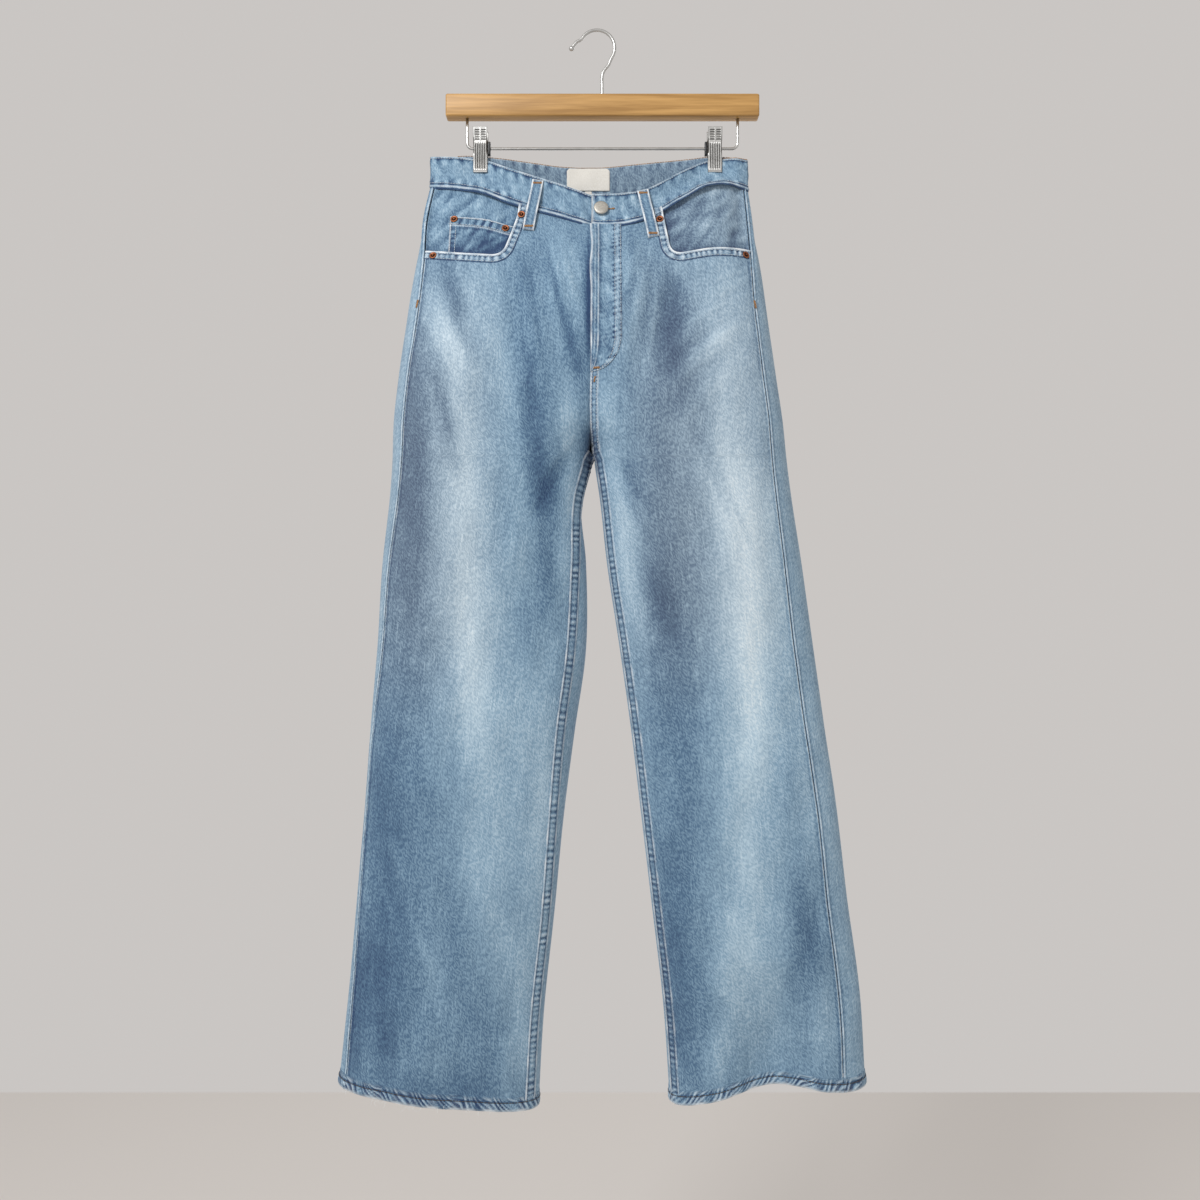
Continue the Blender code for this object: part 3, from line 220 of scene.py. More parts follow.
# Folds: two ends in the front view, half width, height (a ridge is above 0, a trough below).
frontFolds = [
    (-0.095, -0.275, -0.075, -0.480, 0.024, -0.0060),    # trough below the right pocket
    (-0.170, -0.300, -0.150, -0.700, 0.034, 0.0045),     # crease ridge down the right thigh
    (-0.052, -0.235, -0.016, -0.400, 0.017, 0.0050),     # fan beside the fly
    (-0.074, -0.245, -0.050, -0.430, 0.016, 0.0035),
    (0.046, -0.245, 0.016, -0.400, 0.017, 0.0045),
    (0.080, -0.285, 0.060, -0.420, 0.022, -0.0055),      # trough below the left pocket
    (0.129, -0.185, 0.126, -0.262, 0.020, 0.0050),       # ridge that falls from the left clip
    (0.155, -0.420, 0.150, -0.800, 0.034, 0.0050),       # crease ridge down the left thigh
    (0.085, -0.520, 0.125, -0.860, 0.030, -0.0060),
    (0.190, -1.030, 0.195, -1.290, 0.045, -0.0250),      # the left hem buckles inwards
    (-0.185, -1.040, -0.180, -1.260, 0.040, 0.0050),
    (-0.205, -0.760, -0.250, -1.150, 0.026, -0.0050),
]
frontCreases = [      # smaller ones that only the looks have
    (-0.046, -0.245, -0.010, -0.360, 0.0055, 0.0011),
    (-0.062, -0.245, -0.026, -0.420, 0.0060, 0.0010),
    (-0.086, -0.262, -0.052, -0.450, 0.0080, 0.0012),
    (0.040, -0.250, 0.020, -0.330, 0.0055, 0.0010),
    (0.060, -0.250, 0.026, -0.400, 0.0065, 0.0012),
    (0.165, -0.285, 0.060, -0.395, 0.0070, 0.0010),      # whiskers from the side
    (0.170, -0.325, 0.050, -0.440, 0.0080, 0.0011),
    (0.160, -0.380, 0.070, -0.470, 0.0090, 0.0008),
    (-0.190, -0.290, -0.120, -0.430, 0.0110, 0.0014),
    (-0.150, -0.280, -0.100, -0.400, 0.0100, 0.0009),
    (-0.020, -0.470, -0.075, -0.560, 0.0100, -0.0012),   # drag lines at the crotch
    (0.012, -0.480, 0.060, -0.560, 0.0090, -0.0010),
    (0.040, -0.560, 0.100, -0.720, 0.0160, -0.0016),
    (0.115, -0.440, 0.160, -0.640, 0.0180, 0.0016),
    (-0.060, -0.560, -0.090, -0.760, 0.0180, -0.0014),
    (-0.130, -0.900, -0.110, -1.060, 0.0200, 0.0012),
    (0.150, -0.960, 0.140, -1.100, 0.0160, 0.0014),
    (0.232, -1.020, 0.250, -1.180, 0.0160, 0.0030),
    (0.135, -1.080, 0.128, -1.190, 0.0160, 0.0024),
    (-0.225, -1.080, -0.235, -1.190, 0.0140, -0.0016),
    (-0.100, -1.100, -0.094, -1.200, 0.0140, 0.0012),
]
backFolds = [
    (-0.110, -0.440, -0.060, -0.560, 0.030, -0.0070),    # slack cloth under the seat
    (0.100, -0.440, 0.055, -0.560, 0.030, -0.0070),
    (-0.150, -0.560, -0.170, -1.000, 0.036, -0.0050),
    (0.140, -0.560, 0.175, -1.000, 0.036, -0.0050),
]
backCreases = [
    (-0.160, -0.470, -0.040, -0.520, 0.0100, -0.0010),
    (-0.150, -0.500, -0.050, -0.560, 0.0120, -0.0010),
    (0.150, -0.465, 0.035, -0.520, 0.0100, -0.0010),
    (0.145, -0.500, 0.045, -0.565, 0.0120, -0.0010),
    (-0.200, -0.700, -0.110, -0.735, 0.0120, -0.0014),   # behind the knee
    (-0.190, -0.740, -0.100, -0.765, 0.0120, -0.0012),
    (0.195, -0.700, 0.100, -0.735, 0.0120, -0.0014),
    (0.200, -0.745, 0.105, -0.772, 0.0120, -0.0012),
    (-0.200, -1.020, -0.190, -1.180, 0.0180, 0.0018),
    (0.200, -1.000, 0.215, -1.180, 0.0180, 0.0020),
]


def throughPoints(places, values, wanted):
    # Between two points of the table a cubic that has the table's own slopes at both
    slopes = np.gradient(values, places)
    at = np.clip(np.searchsorted(places, wanted) - 1, 0, len(places) - 2)
    span = places[at + 1] - places[at]
    t = (wanted - places[at]) / span
    return ((2 * t**3 - 3 * t**2 + 1) * values[at] + (t**3 - 2 * t**2 + t) * span * slopes[at]
            + (3 * t**2 - 2 * t**3) * values[at + 1] + (t**3 - t**2) * span * slopes[at + 1])


def smoothStep(t):
    # 3 t^2 - 2 t^3 between 0 and 1
    t = np.clip(t, 0, 1)
    return t * t * (3 - 2 * t)


def sectionRows(side, levels):
    table = np.array(legRows[side])[::-1]
    return {name: throughPoints(table[:, 0], table[:, i], levels)
            for i, name in enumerate(sectionColumns)}


def halfSections(side, levels):
    # Front and back halves of each level section, from side fold to inner end: a superellipse
    # arc out to the crest, then a second one on to the inner end, sinking by the row's drop
    row = sectionRows(side, levels)
    angle = np.linspace(0, math.pi / 2, 90)[None]
    power = 2 / garment["squareness"]
    rise, fall = np.sin(angle)**power, np.cos(angle).clip(0)**power
    halves = []
    for sign, key, drop in ((-1, "front", "dropFront"), (1, "back", "dropBack")):
        bulge, inner = sign * row[key][:, None], sign * row[key + "In"][:, None]
        xSide = garment["centreX"] + side * row["side"][:, None]
        xInner = garment["centreX"] + side * row["inner"][:, None]
        xCrest = xSide + (xInner - xSide) * garment["crest"]
        x = np.hstack([xCrest + (xSide - xCrest) * fall,
                       (xCrest + (xInner - xCrest) * rise)[:, 1:]])
        y = row["midY"][:, None] + np.hstack([bulge * rise,
                                              (inner + (bulge - inner) * fall)[:, 1:]])
        share = (x - x[:, :1]) / (x[:, -1:] - x[:, :1])
        low = np.clip((garment["hemLiftStartZ"] - levels)
                      / (garment["hemLiftStartZ"] - garment["hemZ"]), 0, 1)[:, None]
        lift = garment["hemLift"] * low**2 * np.sin(math.pi * share)**2
        z = levels[:, None] - row[drop][:, None] * share + (lift if sign * side < 0 else 0)
        halves.append(np.stack([x, y, z], axis=2))
    return halves[0], halves[1], row


def bandLine(side, edge):
    # Front and back of the waistband's top or seam line, from the side fold to the centre
    halves = []
    columns = [0, bandColumns.index(edge + "Y"), bandColumns.index(edge + "Z")]
    for face in ("front", "back"):
        table = np.array(bandRows[face])
        steps = np.diff(table[:, columns[:2]], axis=0)
        run = np.cumsum(np.r_[0, np.hypot(steps[:, 0], steps[:, 1])])
        centre = np.interp(garment["centreX"], table[:, 0], run)
        wanted = np.linspace(0 if side < 0 else run[-1], centre, 179)
        halves.append(np.column_stack([throughPoints(run, table[:, i], wanted)
                                       for i in columns]))
    return halves[0], halves[1]


def runAlong(line):
    # Length travelled along a line of points
    return np.cumsum(np.r_[0, np.linalg.norm(np.diff(line, axis=0), axis=1)])


def pointsAlong(line, wanted):
    # Points of a line at the wanted lengths
    run = runAlong(line)
    return np.column_stack([np.interp(wanted, run, line[:, i]) for i in range(line.shape[1])])


def splitAt(curve, inset):
    # The two parts of a curve, cut where its x is inset from its first point
    travelled = np.maximum.accumulate(np.abs(curve[:, 0] - curve[0, 0]))
    at = int(np.clip(np.searchsorted(travelled, inset), 1, len(curve) - 1))
    span = travelled[at] - travelled[at - 1]
    t = np.clip((inset - travelled[at - 1]) / span, 0, 1) if span > 0 else 0.0
    cut = curve[at - 1] + (curve[at] - curve[at - 1]) * t
    return np.vstack([curve[:at], cut]), np.vstack([cut, curve[at:]])


def panelPath(front, back, outSeam, inSeam, panel, isLeg):
    # The front panel lies between the seams, the back panel wraps round both folds to them
    outer, rest = splitAt(front, outSeam)
    if not isLeg:
        return rest if panel == "front" else np.vstack([outer[::-1], back[1:]])
    inner, middle = splitAt(rest[::-1], inSeam)
    if panel == "front":
        return middle[::-1]
    return np.vstack([outer[::-1], back[1:], inner[1:]])


# Columns stand close together near a panel's edges, so that its seams can be drawn there
edgeMarks = np.array([0.3, 0.9, 1.5, 2.1, 2.8, 3.6, 4.8, 6.5]) / 1000


def seamColumns(line, middle):
    length = runAlong(line)[-1]
    inner = np.linspace(edgeMarks[-1], length - edgeMarks[-1], middle + 2)[1:-1]
    return pointsAlong(line, np.r_[edgeMarks, inner, length - edgeMarks[::-1]])


def creaseFan(count, starts, ends, width, height, seed):
    # Fine creases that run from one line to another, at uneven steps: a list of folds
    dice = np.random.default_rng(seed)
    made = []
    for i in range(count):
        t = np.clip((i + dice.uniform(0.1, 0.9)) / count, 0, 1)
        reach = dice.uniform(0.55, 1.0)
        x0, z0 = (starts[0][k] * (1 - t) + starts[1][k] * t for k in (0, 1))
        x1, z1 = (ends[0][k] * (1 - t) + ends[1][k] * t for k in (0, 1))
        made.append((x0, z0, x0 + (x1 - x0) * reach, z0 + (z1 - z0) * reach,
                     width * dice.uniform(0.6, 1.4), height * dice.uniform(0.5, 1.3)))
    return made


# Fans of fine creases: number, the line they start on, the line they end on, half width,
# height, seed
frontFans = (
    (11, ((-0.098, -0.268), (-0.036, -0.236)), ((-0.070, -0.520), (-0.009, -0.310)),
     0.0036, 0.00095, 401),
    (7, ((0.036, -0.236), (0.078, -0.262)), ((0.012, -0.330), (0.052, -0.440)),
     0.0034, 0.00085, 403),
    (9, ((0.176, -0.272), (0.172, -0.350)), ((0.060, -0.310), (0.030, -0.470)),
     0.0036, 0.00080, 405),
    (12, ((0.083, -0.272), (0.160, -0.267)), ((0.076, -0.315), (0.148, -0.300)),
     0.0022, 0.00070, 407),
    (12, ((-0.180, -0.270), (-0.104, -0.273)), ((-0.160, -0.330), (-0.092, -0.320)),
     0.0022, 0.00070, 409),
    (7, ((-0.202, -0.280), (-0.200, -0.360)), ((-0.120, -0.420), (-0.110, -0.520)),
     0.0045, 0.00090, 411),
    (6, ((-0.008, -0.440), (-0.012, -0.486)), ((-0.080, -0.520), (-0.100, -0.640)),
     0.0045, -0.00090, 413),
    (6, ((-0.004, -0.440), (0.004, -0.486)), ((0.070, -0.520), (0.090, -0.660)),
     0.0045, -0.00080, 415),
    (6, ((-0.240, -0.860), (-0.200, -1.000)), ((-0.190, -0.960), (-0.150, -1.120)),
     0.0040, 0.00060, 417),
    (5, ((0.110, -0.930), (0.120, -1.060)), ((0.180, -1.010), (0.190, -1.120)),
     0.0040, 0.00060, 419),
)
backFans = (
    (9, ((-0.190, -0.440), (-0.150, -0.520)), ((-0.030, -0.470), (-0.040, -0.580)),
     0.0040, -0.00040, 421),
    (9, ((0.180, -0.440), (0.150, -0.520)), ((0.020, -0.470), (0.030, -0.580)),
     0.0040, -0.00040, 423),
    (8, ((-0.215, -0.670), (-0.215, -0.790)), ((-0.080, -0.690), (-0.090, -0.770)),
     0.0040, 0.00090, 425),
    (8, ((0.225, -0.670), (0.225, -0.790)), ((0.085, -0.690), (0.095, -0.770)),
     0.0040, 0.00090, 427),
)
for fan in frontFans:
    frontCreases += creaseFan(*fan)
for fan in backFans:
    backCreases += creaseFan(*fan)


def foldDepth(x, z, folds, power=garment["foldEndPower"]):
    # Sum of the folds: a bell across each, fading out at its two ends
    total = np.zeros_like(x)
    for x0, z0, x1, z1, width, height in folds:
        length = math.hypot(x1 - x0, z1 - z0)
        wayX, wayZ = (x1 - x0) / length, (z1 - z0) / length
        along = ((x - x0) * wayX + (z - z0) * wayZ) / length
        across = (x - x0) * wayZ - (z - z0) * wayX
        fade = np.sin(np.clip(along, 0, 1) * math.pi)**power
        total += height * fade * np.exp(-(across / width)**2)
    return total


def waviness(x, z, seed, wavelength, height, tall=2.2):
    # Uneven cloth: a sum of sine waves in seeded directions, stretched down the cloth
    dice = np.random.default_rng(seed)
    total = np.zeros_like(x)
    for _ in range(12):
        size = wavelength * dice.uniform(0.6, 1.7)
        turn, phase = dice.uniform(0, 2 * math.pi, 2)
        total += np.sin(2 * math.pi * (x * math.cos(turn) + z * math.sin(turn) / tall) / size
                        + phase)
    return total * height / 3.5


def drape(points, midY, level):
    # Pushes each point out or in along Y by the folds; they fade out towards the side folds
    x, z = points[..., 0], points[..., 2]
    loose = np.clip((garment["waistZ"] - level) / garment["foldFade"], 0, 1)
    forward = np.clip((midY - points[..., 1]) / garment["foldFade"], -1, 1) * loose
    uneven = waviness(x, z, 3, 0.060, 0.0010) + waviness(x, z, 5, 0.026, 0.00035)
    depth = (foldDepth(x, z, frontFolds + frontCreases) + uneven) * forward.clip(0, 1)
    depth += (foldDepth(x, z, backFolds + backCreases) - uneven) * forward.clip(-1, 0)
    moved = points.copy()
    moved[..., 1] -= depth
    return moved


def panelGrid(side, panel, levels, middle):
    # Rows of one panel: each level's section, moved on to the waistband's seam near the waist
    front, back, row = halfSections(side, levels)
    plainFront, plainBack, waist = halfSections(side, np.array([garment["waistZ"]]))
    seam = waist["outSeam"][0]
    sewn = seamColumns(panelPath(*bandLine(side, "seam"), seam, 0, panel, False), middle)
    plain = seamColumns(panelPath(plainFront[0], plainBack[0], seam, 0, panel, False), middle)
    grid = np.array([seamColumns(panelPath(front[i], back[i], row["outSeam"][i],
                                           row["inSeam"][i], panel, z <= garment["crotchZ"]),
                                 middle) for i, z in enumerate(levels)])
    pull = smoothStep((levels - garment["blendEndZ"]) / (garment["waistZ"] - garment["blendEndZ"]))
    grid += (sewn - plain) * pull[:, None, None]
    return drape(grid, row["midY"][:, None], levels[:, None])


def gridNormals(grid):
    # Cross product of the runs down and along the grid, as unit vectors
    normal = np.cross(np.gradient(grid, axis=0), np.gradient(grid, axis=1))
    return normal / np.maximum(np.linalg.norm(normal, axis=2, keepdims=True), 1e-12)


def outwardNormals(grid, facing):
    # The same, turned so that on the whole they look towards the given side of Y
    normal = gridNormals(grid)
    return normal if normal[..., 1].sum() * facing > 0 else -normal


# Where the cloth has been rubbed pale or kept its blue: two ends, half width, step in lightness.
# In front many darker bands are painted shade: down the legs' sides, in the fold troughs below
# the pockets, beside the fly and at the crotch
frontFadesAndShade = [
    (-0.158, -0.235, -0.100, -1.160, 0.0340, 0.09),
    (0.120, -0.240, 0.190, -1.190, 0.0360, 0.19),
    (0.060, -0.300, 0.110, -1.190, 0.0240, -0.08),
    (-0.205, -0.290, -0.262, -1.200, 0.0300, -0.03),
    (-0.075, -0.300, -0.080, -1.190, 0.0240, 0.14),
    (0.170, -0.260, 0.262, -1.190, 0.0240, 0.15),
    (-0.030, -0.430, -0.075, -1.190, 0.0120, 0.08),
    (0.012, -0.440, 0.075, -1.180, 0.0120, 0.03),
    (-0.156, -0.283, -0.123, -0.863, 0.0262, 0.20),
    (-0.139, -0.600, -0.117, -0.972, 0.0262, 0.09),
    (-0.190, -0.316, -0.201, -0.688, 0.0219, -0.21),
    (-0.201, -0.600, -0.228, -0.863, 0.0284, -0.07),
    (-0.176, -0.371, -0.145, -0.524, 0.0077, -0.24),
    (-0.165, -0.294, -0.130, -0.404, 0.0077, -0.15),
    (-0.171, -0.261, -0.139, -0.349, 0.0098, -0.21),
    (-0.117, -0.272, -0.097, -0.447, 0.0120, 0.12),
    (-0.079, -0.251, -0.061, -0.557, 0.0142, -0.28),
    (-0.061, -0.469, -0.051, -0.688, 0.0142, -0.16),
    (-0.069, -0.229, -0.008, -0.436, 0.0077, -0.13),
    (-0.088, -0.261, -0.045, -0.447, 0.0077, -0.09),
    (-0.056, -0.261, -0.012, -0.425, 0.0066, -0.11),
    (-0.012, -0.240, -0.008, -0.404, 0.0055, -0.16),
    (-0.034, -0.393, -0.025, -0.557, 0.0098, 0.17),
    (-0.023, -0.502, -0.040, -0.666, 0.0087, 0.10),
    (-0.053, -0.753, -0.062, -0.972, 0.0131, 0.10),
    (-0.215, -0.775, -0.233, -1.147, 0.0328, -0.17),
    (-0.147, -0.928, -0.130, -1.223, 0.0284, -0.07),
    (-0.088, -0.994, -0.077, -1.180, 0.0109, 0.06),
    (-0.106, -1.070, -0.106, -1.191, 0.0175, -0.07),
    (-0.221, -1.016, -0.224, -1.147, 0.0262, -0.07),
    (-0.259, -1.005, -0.268, -1.191, 0.0175, -0.18),
    (-0.247, -0.906, -0.211, -1.027, 0.0044, 0.05),
    (-0.084, -0.841, -0.090, -1.037, 0.0153, -0.03),
    (-0.182, -1.147, -0.182, -1.234, 0.0656, -0.15),
    (0.130, -0.185, 0.141, -0.425, 0.0175, 0.05),
    (0.139, -0.338, 0.159, -0.600, 0.0197, 0.10),
    (0.166, -0.491, 0.170, -0.863, 0.0240, 0.27),
    (0.158, -0.535, 0.170, -0.688, 0.0131, 0.01),
    (0.078, -0.272, 0.086, -0.458, 0.0186, -0.28),
    (0.058, -0.404, 0.066, -0.666, 0.0175, -0.03),
    (0.066, -0.600, 0.102, -0.852, 0.0175, -0.06),
    (0.017, -0.469, 0.047, -0.710, 0.0131, 0.27),
    (0.200, -0.513, 0.244, -0.895, 0.0153, 0.04),
    (0.150, -0.786, 0.170, -1.180, 0.0262, 0.12),
    (0.218, -0.884, 0.244, -1.180, 0.0197, -0.23),
    (0.078, -0.895, 0.086, -1.191, 0.0175, -0.14),
    (0.117, -0.478, 0.167, -0.596, 0.0038, -0.13),
    (0.111, -0.482, 0.161, -0.607, 0.0038, -0.11),
    (0.102, -0.447, 0.137, -0.539, 0.0087, -0.04),
    (0.170, -0.281, 0.069, -0.329, 0.0034, -0.01),
    (0.170, -0.301, 0.047, -0.349, 0.0034, 0.01),
    (0.167, -0.323, 0.043, -0.377, 0.0034, 0.01),
    (0.165, -0.373, 0.036, -0.447, 0.0034, 0.03),
    (0.043, -0.220, 0.030, -0.371, 0.0066, -0.08),
    (0.058, -0.242, 0.047, -0.382, 0.0066, -0.08),
    (0.003, -0.404, 0.027, -0.535, 0.0109, 0.19),
    (0.105, -0.513, 0.121, -0.721, 0.0153, -0.06),
    (0.113, -1.070, 0.113, -1.201, 0.0284, -0.07),
    (0.113, -0.316, 0.113, -0.502, 0.0153, -0.11),
    (0.189, -0.382, 0.211, -0.557, 0.0109, 0.41),
    (-0.009, -0.225, -0.009, -0.400, 0.0022, -0.34),   # painted shadow beside the fly's edge
    (-0.006, -0.455, -0.004, -0.535, 0.0070, -0.50),   # shade at the crotch
]
backFades = [
    (-0.105, -0.260, -0.095, -0.430, 0.050, 0.16),       # seat
    (0.095, -0.260, 0.085, -0.430, 0.050, 0.16),
    (-0.130, -0.560, -0.150, -0.800, 0.045, 0.14),
    (0.125, -0.560, 0.150, -0.800, 0.045, 0.14),
    (-0.200, -0.700, -0.110, -0.735, 0.007, 0.07),
    (0.195, -0.700, 0.100, -0.735, 0.007, 0.07),
    (-0.170, -0.950, -0.170, -1.180, 0.080, -0.10),
    (0.190, -0.950, 0.190, -1.180, 0.080, -0.10),
]
greyPatches = [       # centre, half width, half height: here the wash has a greyer cast
    (-0.180, -0.520, 0.070, 0.230, 0.50),
    (0.115, -0.500, 0.080, 0.230, 0.50),
]


wash = {
    "light": {-1: 0.384, 1: 0.52},      # lightness of the ground, in front and behind
    "bandEnds": 0.75, "ridges": 80,     # how the bands fade out; crests of creases are rubbed paler, troughs get painted shade
    "waves": ((11, 0.050, 0.022), (12, 0.018, 0.014)), "greyBehind": 0.4,
}


def washAndShadeTone(points, facing):
    # Lightness and greyness of the wash, with painted shade: soft bands and patches, with a slow
    # unevenness
    x, z = points[..., 0], points[..., 2]
    fades, creases = (frontFadesAndShade, frontCreases) if facing < 0 else (backFades, backCreases)
    light = wash["light"][facing] + foldDepth(x, z, fades, wash["bandEnds"])
    light += wash["ridges"] * foldDepth(x, z, creases)
    light += sum(waviness(x, z, *wave) for wave in wash["waves"])
    grey = sum(strength * np.exp(-((x - cx) / w)**4 - ((z - cz) / h)**4)
               for cx, cz, w, h, strength in greyPatches)
    return light, grey if facing < 0 else grey * wash["greyBehind"]


def gridFaces(rows, columns, closeRows=False, closeColumns=False):
    # Quads between neighbours of a grid, and across its ends where it closes on itself
    index = np.arange(rows * columns).reshape(rows, columns)
    if closeRows:
        index = np.vstack([index, index[:1]])
    if closeColumns:
        index = np.hstack([index, index[:, :1]])
    quads = np.stack([index[:-1, :-1], index[1:, :-1], index[1:, 1:], index[:-1, 1:]], axis=-1)
    return quads.reshape(-1, 4)


def clothUv(grid):
    # Real lengths on the cloth: across from each row's middle, and down the middle column
    across = np.zeros(grid.shape[:2])
    across[:, 1:] = np.cumsum(np.linalg.norm(np.diff(grid, axis=1), axis=2), axis=1)
    across -= across[:, -1:] / 2
    if grid[:, -1, 0].mean() < grid[:, 0, 0].mean():
        across = -across        # the twill leans the same way on every piece
    middle = grid[:, grid.shape[1] // 2]
    return np.stack([across, np.broadcast_to(-runAlong(middle)[:, None], across.shape)], axis=2)


def makeMesh(name, points, faces, uv=None, tone=None, ends=()):
    # ends are extra faces of any length, such as the caps of a tube
    mesh = bpy.data.meshes.new(name)
    mesh.from_pydata(points.reshape(-1, 3).tolist(), [], faces.tolist() + [list(f) for f in ends])
    mesh.polygons.foreach_set("use_smooth", np.ones(len(mesh.polygons), bool))
    corner = np.empty(len(mesh.loops), int)
    mesh.loops.foreach_get("vertex_index", corner)
    if uv is not None:
        layer = mesh.uv_layers.new(name="cloth")
        layer.data.foreach_set("uv", uv.reshape(-1, 2)[corner].ravel())
    if tone is not None:
        layer = mesh.color_attributes.new("tone", "FLOAT_COLOR", "POINT")
        flat = np.ones((len(mesh.vertices), 4))
        flat[:, :3] = np.stack(tone, axis=-1).reshape(-1, 3)
        layer.data.foreach_set("color", flat.ravel())
    mesh.update()
    return mesh


def faceOutwards(mesh):
    # A closed mesh looks inwards where the triple products of its triangles add up to less than 0
    mesh.calc_loop_triangles()
    corners = np.empty(len(mesh.loop_triangles) * 3, int)
    mesh.loop_triangles.foreach_get("vertices", corners)
    places = np.empty(len(mesh.vertices) * 3)
    mesh.vertices.foreach_get("co", places)
    a, b, c = places.reshape(-1, 3)[corners.reshape(-1, 3)].transpose(1, 0, 2)
    if (a * np.cross(b, c)).sum() < 0:
        mesh.flip_normals()


def addPiece(name, mesh, finishes, nodes=(), wall=0.0):
    # A piece that rides on the one body; wall is the thickness that goes on behind its face
    piece = bpy.data.objects.new(name, mesh)
    bpy.context.scene.collection.objects.link(piece)
    for finish in finishes:
        mesh.materials.append(finish)
    if wall > 0:
        thicken = piece.modifiers.new("wall", "SOLIDIFY")
        thicken.thickness = wall
        thicken.offset = -1
        thicken.material_offset = len(finishes) - 1
    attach(piece, "root")
    if nodes:
        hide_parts(*nodes)
    return piece


def sheetPiece(name, grid, facing, finishes, nodes=(), wall=0.0012, tone=None, keep=None):
    # A grid of points as a sheet whose faces look towards the given side of Y
    uv = clothUv(grid)
    if tone is None:
        light, grey = washAndShadeTone(grid, facing)
        tone = (light, grey, np.zeros_like(light))
    faces = gridFaces(*grid.shape[:2])
    if keep is not None:
        faces = faces[keep.reshape(-1)]
    if gridNormals(grid)[..., 1].sum() * facing < 0:
        faces = faces[:, ::-1]
    mesh = makeMesh(name, grid, faces, uv, tone)
    return addPiece(name, mesh, finishes, nodes, wall)


def ringPiece(name, rings, finish, nodes=(), tone=None):
    # Rings of points as one tube, closed at both ends
    count, sides = rings.shape[:2]
    ends = [list(range(sides)), list(range((count - 1) * sides, count * sides))[::-1]]
    mesh = makeMesh(name, rings, gridFaces(count, sides, closeColumns=True), tone=tone, ends=ends)
    faceOutwards(mesh)
    return addPiece(name, mesh, [finish], nodes)


def strandsPiece(name, strands, finish):
    # Short closed tubes as one piece: an array of strands, of their rings and of the rings' points
    count, length, sides = strands.shape[:3]
    base = np.arange(count)[:, None, None] * length * sides
    faces = (gridFaces(length, sides, closeColumns=True)[None] + base).reshape(-1, 4)
    loop = np.arange(sides)[None]
    first = (loop + base[:, 0]).tolist()
    last = (loop[:, ::-1] + base[:, 0] + (length - 1) * sides).tolist()
    mesh = makeMesh(name, strands, faces, ends=first + last)
    faceOutwards(mesh)
    return addPiece(name, mesh, [finish])


def refineGrid(grid, times):
    # Linear in-between points along both ways of a grid
    for axis in (0, 1):
        count = grid.shape[axis]
        wanted = np.linspace(0, count - 1, times * count)
        low = np.minimum(wanted.astype(int), count - 2)
        share = (wanted - low).reshape((-1, 1, 1) if axis == 0 else (1, -1, 1))
        grid = np.take(grid, low, axis) * (1 - share) + np.take(grid, low + 1, axis) * share
    return grid


reliefShape = {"step": 0.0010, "skin": 0.0015, "refine": 4, "border": 10, "soften": 2,
               "reach": 0.002, "steepest": 2}


def makeRelief(grids, facing):
    # Height field of the cloth seen along Y, on a raster of x and z: in each cell the mean of the
    # points that lie within the skin of the outermost one; empty cells take their neighbours' mean
    step, border = reliefShape["step"], reliefShape["border"]
    points = np.vstack([refineGrid(grid, reliefShape["refine"]).reshape(-1, 3) for grid in grids])
    low = points[:, [0, 2]].min(axis=0) - border * step
    size = (np.ptp(points[:, [0, 2]], axis=0) / step).astype(int) + 2 * border + 1
    at = np.round((points[:, [0, 2]] - low) / step).astype(int)
    cell, height = at[:, 0] * size[1] + at[:, 1], points[:, 1] * facing
    highest = np.full(size[0] * size[1], -9.0)
    np.maximum.at(highest, cell, height)
    near = height > highest[cell] - reliefShape["skin"]
    number = np.bincount(cell[near], minlength=len(highest))
    total = np.bincount(cell[near], height[near], minlength=len(highest))
    field = (total / np.maximum(number, 1)).reshape(size)
    known = (number > 0).reshape(size)
    for turn in range(border):
        around, weight = np.zeros(size), np.zeros(size)
        for i, j in ((0, 0), (1, 0), (-1, 0), (0, 1), (0, -1)):
            around += np.roll(np.where(known, field, 0), (i, j), (0, 1))
            weight += np.roll(known, (i, j), (0, 1))
        mean = around / np.maximum(weight, 1)
        field = np.where(known, mean if turn < reliefShape["soften"] else field,
                         np.where(weight > 0, mean, 0))
        known = weight > 0
    return {"low": low, "step": step, "field": field, "facing": facing}


def reliefHeight(relief, x, z):
    # Bilinear between the four cells round each point
    field = relief["field"]
    column = np.clip((x - relief["low"][0]) / relief["step"], 0, field.shape[0] - 1.001)
    row = np.clip((z - relief["low"][1]) / relief["step"], 0, field.shape[1] - 1.001)
    i, j = column.astype(int), row.astype(int)
    s, t = column - i, row - j
    return ((field[i, j] * (1 - s) + field[i + 1, j] * s) * (1 - t)
            + (field[i, j + 1] * (1 - s) + field[i + 1, j + 1] * s) * t)


def onCloth(relief, x, z, lift):
    # The cloth's point seen at x, z, and its normal from the slopes round it; the point is
    # lifted along the normal
    reach, steepest = reliefShape["reach"], reliefShape["steepest"]
    slopeX = (reliefHeight(relief, x + reach, z) - reliefHeight(relief, x - reach, z)) / 2 / reach
    slopeZ = (reliefHeight(relief, x, z + reach) - reliefHeight(relief, x, z - reach)) / 2 / reach
    slopeX, slopeZ = (np.clip(slope, -steepest, steepest) for slope in (slopeX, slopeZ))
    normal = np.stack([-slopeX, np.full_like(slopeX, relief["facing"]), -slopeZ], axis=-1)
    normal /= np.linalg.norm(normal, axis=-1, keepdims=True)
    points = np.stack([x, relief["facing"] * reliefHeight(relief, x, z), z], axis=-1)
    return points + normal * np.asarray(lift)[..., None], normal


